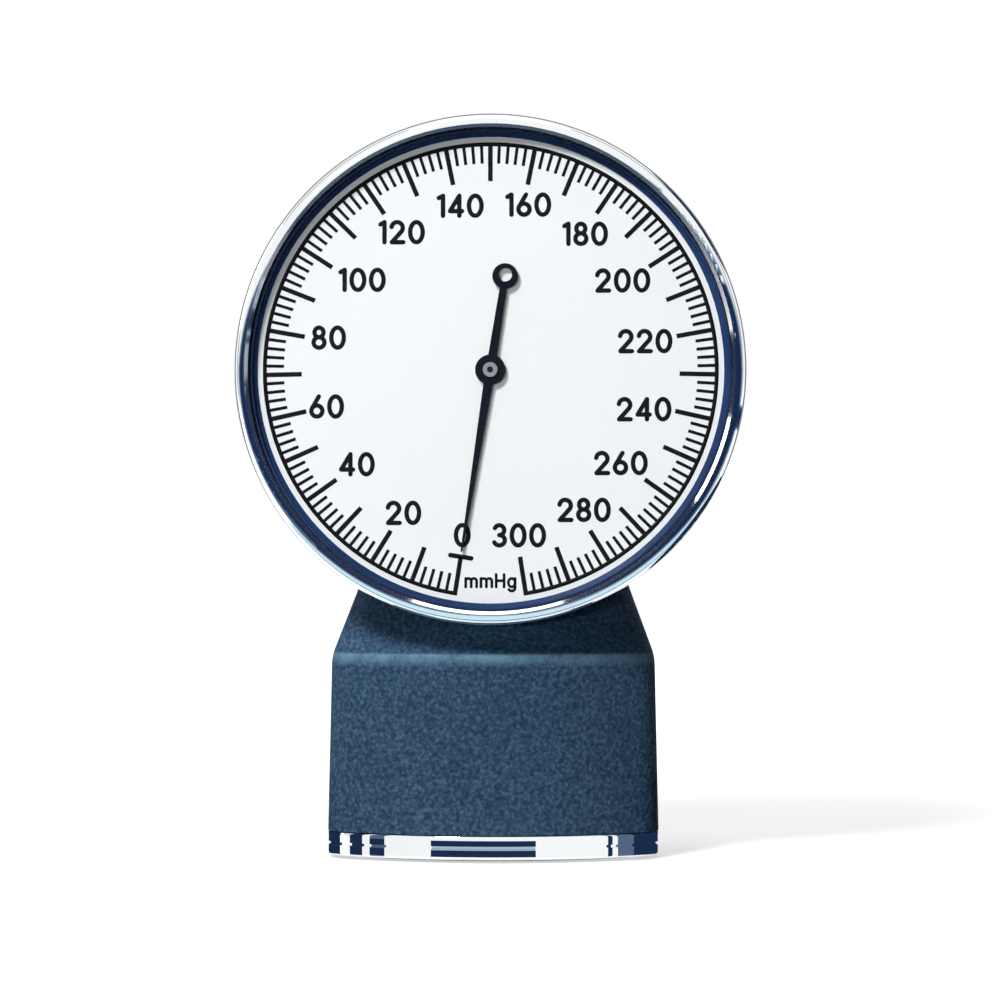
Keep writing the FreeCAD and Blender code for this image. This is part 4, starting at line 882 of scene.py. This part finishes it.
def card_paint(name, colour):
    """A flat tone, the same however the card is lit."""
    material = bpy.data.materials.new(name)
    material.use_nodes = True
    tree = material.node_tree
    tree.nodes.clear()
    output = tree.nodes.new("ShaderNodeOutputMaterial")
    tone = tree.nodes.new("ShaderNodeEmission")
    tone.inputs["Color"].default_value = (*colour, 1)
    tree.links.new(tone.outputs["Emission"], output.inputs["Surface"])
    return material


NAVY_CARD = card_paint("navy_card", (0.011, 0.026, 0.075))
DUSK_CARD = card_paint("dusk_card", (0.09, 0.14, 0.23))
HAZE_CARD = card_paint("haze_card", (0.42, 0.52, 0.63))
SKY_CARD = card_paint("sky_card", (0.66, 0.89, 0.97))
GREY_CARD = card_paint("grey_card", (0.22, 0.24, 0.27))
WHITE_CARD = card_paint("white_card", (1.0, 1.0, 1.0))


def mirror_card(name, corners, paint, faces=None):
    """A card which only reflections see."""
    card = sheet(name, corners, paint, faces)
    card.visible_camera = False
    card.visible_diffuse = False
    card.visible_shadow = False


def card_strip(name, rows, paint):
    """A card of several rows of points, each joined to the next."""
    corners = [spot for row in rows for spot in row]
    width = len(rows[0])
    faces = []
    for i in range(len(rows) - 1):
        for j in range(width - 1):
            first = i * width + j
            faces.append((first, first + 1, first + width + 1, first + width))
    mirror_card(name, corners, paint, faces)


# Low cards, for the base: before it, at its sides and behind
CARD_LIFT = 0.1 * MM
FRONT_WALL = -0.62
SIDE_WALL = 0.31
REAR_WALL = 0.12
REAR_EDGE = 0.04
FRONT_TOP = 0.055
SIDE_TOP = 0.032
REAR_TOP = 0.045
TABLE_START = -0.22


def upright(name, start, end, top, paint=NAVY_CARD):
    """A card standing on the table between two places."""
    spots = [(*start, CARD_LIFT), (*end, CARD_LIFT), (*end, top), (*start, top)]
    mirror_card(name, spots, paint)


upright("front_card", (-SIDE_WALL, FRONT_WALL), (SIDE_WALL, FRONT_WALL), FRONT_TOP)
for side, word in ((-1, "left"), (1, "right")):
    reach = SIDE_WALL * side
    upright(f"{word}_rear_card", (REAR_EDGE * side, REAR_WALL), (reach, REAR_WALL), REAR_TOP)
upright("right_card", (SIDE_WALL, FRONT_WALL), (SIDE_WALL, REAR_WALL), SIDE_TOP)
mirror_card(
    "table_card",
    [
        (-SIDE_WALL, FRONT_WALL, CARD_LIFT),
        (SIDE_WALL, FRONT_WALL, CARD_LIFT),
        (SIDE_WALL, TABLE_START, CARD_LIFT),
        (-SIDE_WALL, TABLE_START, CARD_LIFT),
    ],
    NAVY_CARD,
)

# A round card, for the lens, which mirrors it
LENS_CARD = (-18.5 * MM, FRONT_WALL, 96 * MM)
LENS_CARD_RADIUS = 74 * MM
LENS_CARD_STEPS = 48
lens_ring = [math.tau * i / LENS_CARD_STEPS for i in range(LENS_CARD_STEPS)]
mirror_card(
    "lens_card",
    [
        Vector(LENS_CARD) + LENS_CARD_RADIUS * Vector((math.cos(turn), 0, math.sin(turn)))
        for turn in lens_ring
    ],
    NAVY_CARD,
)

# Cards for the bezel: each lies where the bezel mirrors it to the eye
BEZEL_ROUND = 1.4 * MM
BEZEL_BEVEL = 0.4 * MM
bezel_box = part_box("bezel")
BEZEL_FRONT = bezel_box[0][1]
BEZEL_OUTSIDE = bezel_box[1][0]
MIDDLE = Vector((0, BEZEL_FRONT, GAUGE_HEIGHT))
FAR = 0.9
BEZEL_STEP = 3
# How much of the rolled edge is dark, by angle from the right, counter-clockwise
BEZEL_DARK = (
    (0, 0.55),
    (12, 0.5),
    (25, 0.34),
    (36, 0.2),
    (48, 0.07),
    (60, 0.0),
    (148, 0.0),
    (160, 0.1),
    (169, 0.32),
    (180, 0.48),
    (195, 0.48),
    (210, 0.42),
    (225, 0.33),
    (240, 0.22),
    (255, 0.12),
    (270, 0.08),
    (285, 0.12),
    (300, 0.2),
    (315, 0.3),
    (330, 0.48),
    (345, 0.56),
    (360, 0.55),
)
# Dark strokes by the outer edge: first and last angle, inner and outer share of the rolled edge
BEZEL_STROKES = ((21, 52, 0.64, 0.95), (308, 336, 0.62, 0.95))
# Where the dark fades to dusk, to haze and to light, and the share from which it fades fully
SOFT_SHARES = (-0.06, 0.03, 0.11)
SOFT_FROM = 0.12
# Between these angles the rolled edge is bright
BRIGHT_START = 60
BRIGHT_END = 147


def landing(spot, normal):
    """Where the eye's ray, mirrored at a spot, ends: on the table or on a far ball."""
    way = (spot - EYE).normalized()
    way -= 2 * way.dot(normal) * normal
    if way.z < 0:
        table = spot + way * ((CARD_LIFT - spot.z) / way.z)
        if (table - MIDDLE).length < FAR:
            return table
    offset = spot - MIDDLE
    along = offset.dot(way)
    return spot + way * (math.sqrt(along**2 - offset.length_squared + FAR**2) - along)


def rolled(angle, share):
    """Where the rolled edge, at an angle and a share of its width, mirrors the eye's ray to."""
    turn = math.radians(angle)
    tilt = math.acos(share)
    radius = BEZEL_OUTSIDE - BEZEL_ROUND * (1 - share)
    out = Vector((math.cos(turn), 0, math.sin(turn)))
    spot = out * radius
    spot += Vector((0, BEZEL_FRONT + BEZEL_ROUND * (1 - math.sin(tilt)), GAUGE_HEIGHT))
    return landing(spot, out * share - Vector((0, math.sin(tilt), 0)))


def dark_share(angle):
    for (start, low), (end, high) in zip(BEZEL_DARK, BEZEL_DARK[1:]):
        if start <= angle <= end:
            return low + (high - low) * (angle - start) / (end - start)


def soft_edge(angle, offset):
    """The dark's edge at an angle, moved by an offset that fades where there is little dark."""
    share = dark_share(angle)
    return max(0.0, share + offset * min(1, share / SOFT_FROM))


def swell(angle, start, end):
    """Half an oval over a stretch of angles: one in its middle and none at its ends."""
    off = (2 * angle - start - end) / (end - start)
    return math.sqrt(max(0.0, 1 - off**2))


def bezel_card(name, stretch, paint, parts=4):
    """A card for a stretch of the rolled edge, given as angles with two shares each."""
    rows = []
    for angle, first, last in stretch:
        rows.append([rolled(angle, first + (last - first) * j / parts) for j in range(parts + 1)])
    card_strip(name, rows, paint)


for word, angles in (
    ("right", range(0, BRIGHT_START + 1, BEZEL_STEP)),
    ("left", range(BRIGHT_END, 361, BEZEL_STEP)),
):
    dark, dusk, haze = [[soft_edge(a, offset) for a in angles] for offset in SOFT_SHARES]
    none = [0.0] * len(angles)
    bezel_card(f"bezel_{word}_dark", zip(angles, none, dark), NAVY_CARD)
    bezel_card(f"bezel_{word}_dusk", zip(angles, dark, dusk), DUSK_CARD, 2)
    bezel_card(f"bezel_{word}_haze", zip(angles, dusk, haze), HAZE_CARD, 2)
for i, (start, end, low, high) in enumerate(BEZEL_STROKES):
    stroke = [(a, high - (high - low) * swell(a, start, end), high) for a in range(start, end + 1)]
    bezel_card(f"bezel_stroke_{i}", stroke, NAVY_CARD)

# For the bezel's bevel, which mirrors across the dial
BEVEL_FAR_HALF = 50 * MM
BEVEL_TABLE_HALF = 2.5 * MM
BEVEL_RADIUS = BEZEL_OUTSIDE - BEZEL_ROUND - BEZEL_BEVEL / 2
bevel_rows = []
for angle in range(0, 361, BEZEL_STEP):
    turn = math.radians(angle)
    out = Vector((math.cos(turn), 0, math.sin(turn)))
    spot = MIDDLE + out * BEVEL_RADIUS + Vector((0, BEZEL_BEVEL / 2, 0))
    end = landing(spot, (-out - Vector((0, 1, 0))).normalized())
    half = Vector((0, BEVEL_TABLE_HALF if end.z < MM else BEVEL_FAR_HALF, 0))
    bevel_rows.append([end - half, end + half])
card_strip("bevel_card", bevel_rows, NAVY_CARD)
# A pale blue card on the table, for the bezel's lower half
SKY_HALF = 90 * MM
SKY_END = -18 * MM
mirror_card(
    "sky_card",
    [
        (-SKY_HALF, TABLE_START, CARD_LIFT / 2),
        (SKY_HALF, TABLE_START, CARD_LIFT / 2),
        (SKY_HALF, SKY_END, CARD_LIFT / 2),
        (-SKY_HALF, SKY_END, CARD_LIFT / 2),
    ],
    SKY_CARD,
)
# Behind, for the bezel's outermost line, above the base
REAR_DEPTH = 0.1
REAR_RING = (0.036, 0.23)
REAR_ANGLES = range(-20, 201, 5)
rear_rows = []
for angle in REAR_ANGLES:
    turn = math.radians(angle)
    out = Vector((math.cos(turn), 0, math.sin(turn)))
    rear_rows.append([Vector((0, REAR_DEPTH, GAUGE_HEIGHT)) + out * reach for reach in REAR_RING])
card_strip("rear_ring_card", rear_rows, GREY_CARD)

# Close before the foot band, for its own bars
BAND_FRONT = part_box("foot_band")[0][1] / MM
BAND_CROWN = 34.0
BAND_CORNER = 5.5
BAND_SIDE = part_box("foot_band")[1][0] / MM - BAND_CORNER
CROWN_REACH = BAND_SIDE * BAND_CROWN / (BAND_CROWN - BAND_CORNER)
CORNER_BACK = (
    BAND_FRONT + BAND_CROWN - math.sqrt((BAND_CROWN - BAND_CORNER) ** 2 - BAND_SIDE**2)
)
BAND_TOP = 5.2
STRIPE_TOP = 11.0
STRIPE_FOOT = (0.6, 8.0)


def mirrored(x, far, z):
    """A spot that the band's face at x mirrors to the front, a little way off."""
    if abs(x) < CROWN_REACH:
        turn = math.asin(x / BAND_CROWN)
        y = BAND_FRONT + BAND_CROWN * (1 - math.cos(turn))
    else:
        share = min(1.0, (abs(x) - BAND_SIDE) / BAND_CORNER)
        turn = math.copysign(math.asin(share), x)
        y = CORNER_BACK - BAND_CORNER * math.cos(turn)
    return Vector((x + far * math.sin(turn * 2), y - far * math.cos(turn * 2), z)) * MM


# First and last x, low and high edge, distance, tone
BAND_CARDS = {
    "white": (-18.8, 16.4, 0.1, BAND_TOP, 2.6, WHITE_CARD),
    "left_end": (-21.8, -20.1, 0.1, STRIPE_TOP, 2.0, NAVY_CARD),
    "left_second": (-18.8, -17.1, 0.1, STRIPE_TOP, 2.0, NAVY_CARD),
    "left_third": (-16.1, -14.1, 0.1, STRIPE_TOP, 2.3, DUSK_CARD),
    "left_low": (-16.1, -14.1, 0.58, 1.57, 2.0, NAVY_CARD),
    "left_high": (-16.1, -14.1, 1.9, 2.74, 2.0, NAVY_CARD),
    "middle": (-7.9, 5.8, 0.58, 2.74, 2.3, HAZE_CARD),
    "middle_low": (-7.9, 5.8, 0.58, 1.5, 2.0, NAVY_CARD),
    "middle_high": (-7.9, 5.8, 2.0, 2.74, 2.0, NAVY_CARD),
    "right_line": (15.2, 15.8, 0.1, STRIPE_TOP, 2.0, NAVY_CARD),
    "right_second": (16.5, 18.6, 0.1, STRIPE_TOP, 2.3, DUSK_CARD),
    "right_end": (18.6, 21.8, 0.1, STRIPE_TOP, 2.0, NAVY_CARD),
}
BAND_STEPS = 24
for name, (begin, end, low, high, far, paint) in BAND_CARDS.items():
    places = [begin + (end - begin) * i / BAND_STEPS for i in range(BAND_STEPS + 1)]
    rows = [[mirrored(x, far, low), mirrored(x, far, high)] for x in places]
    card_strip(f"band_{name}_card", rows, paint)
    if high == STRIPE_TOP:
        rows = [[mirrored(x, reach, low) for reach in STRIPE_FOOT] for x in places]
        card_strip(f"band_{name}_foot_card", rows, paint)


# Light of the world as it falls on things, at the horizon and overhead
WORLD_LEVELS = (0.05, 0.24)
WORLD_HEIGHTS = (0.1, 0.9)


def studio_light():
    """White to the eye and in mirrors; as light, dim at the horizon and brighter overhead."""
    world = bpy.data.worlds.new("studio")
    bpy.context.scene.world = world
    world.use_nodes = True
    tree = world.node_tree
    sky = tree.nodes["Background"]
    sky.inputs["Color"].default_value = (1, 1, 1, 1)
    way = tree.nodes.new("ShaderNodeTexCoord")
    height = tree.nodes.new("ShaderNodeSeparateXYZ")
    glow = tree.nodes.new("ShaderNodeMapRange")
    glow.inputs["From Min"].default_value = WORLD_HEIGHTS[0]
    glow.inputs["From Max"].default_value = WORLD_HEIGHTS[1]
    glow.inputs["To Min"].default_value = WORLD_LEVELS[0]
    glow.inputs["To Max"].default_value = WORLD_LEVELS[1]
    level = tree.nodes.new("ShaderNodeMapRange")
    level.inputs["To Max"].default_value = 1.0
    link = tree.links.new
    link(way.outputs["Generated"], height.inputs["Vector"])
    link(height.outputs["Z"], glow.inputs["Value"])
    link(glow.outputs["Result"], level.inputs["To Min"])
    link(seen_straight(tree), level.inputs["Value"])
    link(level.outputs["Result"], sky.inputs["Strength"])


studio_light()


# Soft lamps: place, what they aim at, size and power
LAMPS = {
    "key_lamp": ((-0.26, -0.57, 0.51), (0, 0, 0.05), 0.16, 5.2),
    "side_lamp": ((-0.62, 0.06, 0.34), (0, 0, 0.04), 0.3, 1.0),
    "top_lamp": ((-0.02, -0.1, 0.85), (0, 0, 0.05), 0.5, 1.5),
    "rear_lamp": ((0.2, 0.75, 0.5), (0, 0, 0.05), 0.4, 1.2),
}
# A narrow lamp that lights the dial and little else
SPOT_PLACE = Vector((-0.18, -0.84, 0.066))
SPOT_POWER = 7.0
SPOT_RADIUS = BEZEL_OUTSIDE - BEZEL_ROUND / 2
SPOT_BLEND = 0.03
SPOT_SIZE = 5 * MM


def hang(lamp, place, aim):
    holder = bpy.data.objects.new(lamp.name, lamp)
    holder.location = place
    holder.rotation_mode = "QUATERNION"
    holder.rotation_quaternion = (Vector(aim) - Vector(place)).to_track_quat("-Z", "Y")
    bpy.context.scene.collection.objects.link(holder)


for name, (place, aim, size, power) in LAMPS.items():
    lamp = bpy.data.lights.new(name, "AREA")
    lamp.shape = "DISK"
    lamp.size = size
    lamp.energy = power
    hang(lamp, place, aim)
spot = bpy.data.lights.new("dial_spot", "SPOT")
spot.energy = SPOT_POWER
spot.spot_size = 2 * math.atan(SPOT_RADIUS / (MIDDLE - SPOT_PLACE).length)
spot.spot_blend = SPOT_BLEND
spot.shadow_soft_size = SPOT_SIZE
hang(spot, SPOT_PLACE, MIDDLE)

# ---------------------------------------------------------------- camera

SENSOR_WIDTH = 36
LENS_SHARE = 3.481
CLIP = (0.01, 50)
lens = bpy.data.cameras.new("view")
lens.sensor_width = SENSOR_WIDTH
lens.lens = LENS_SHARE * SENSOR_WIDTH
lens.clip_start, lens.clip_end = CLIP
camera = bpy.data.objects.new("view", lens)
camera.location = EYE
camera.rotation_mode = "QUATERNION"
camera.rotation_quaternion = (-back).to_track_quat("-Z", "Y")
bpy.context.scene.collection.objects.link(camera)
bpy.context.scene.camera = camera
bpy.context.scene.view_settings.view_transform = "Standard"
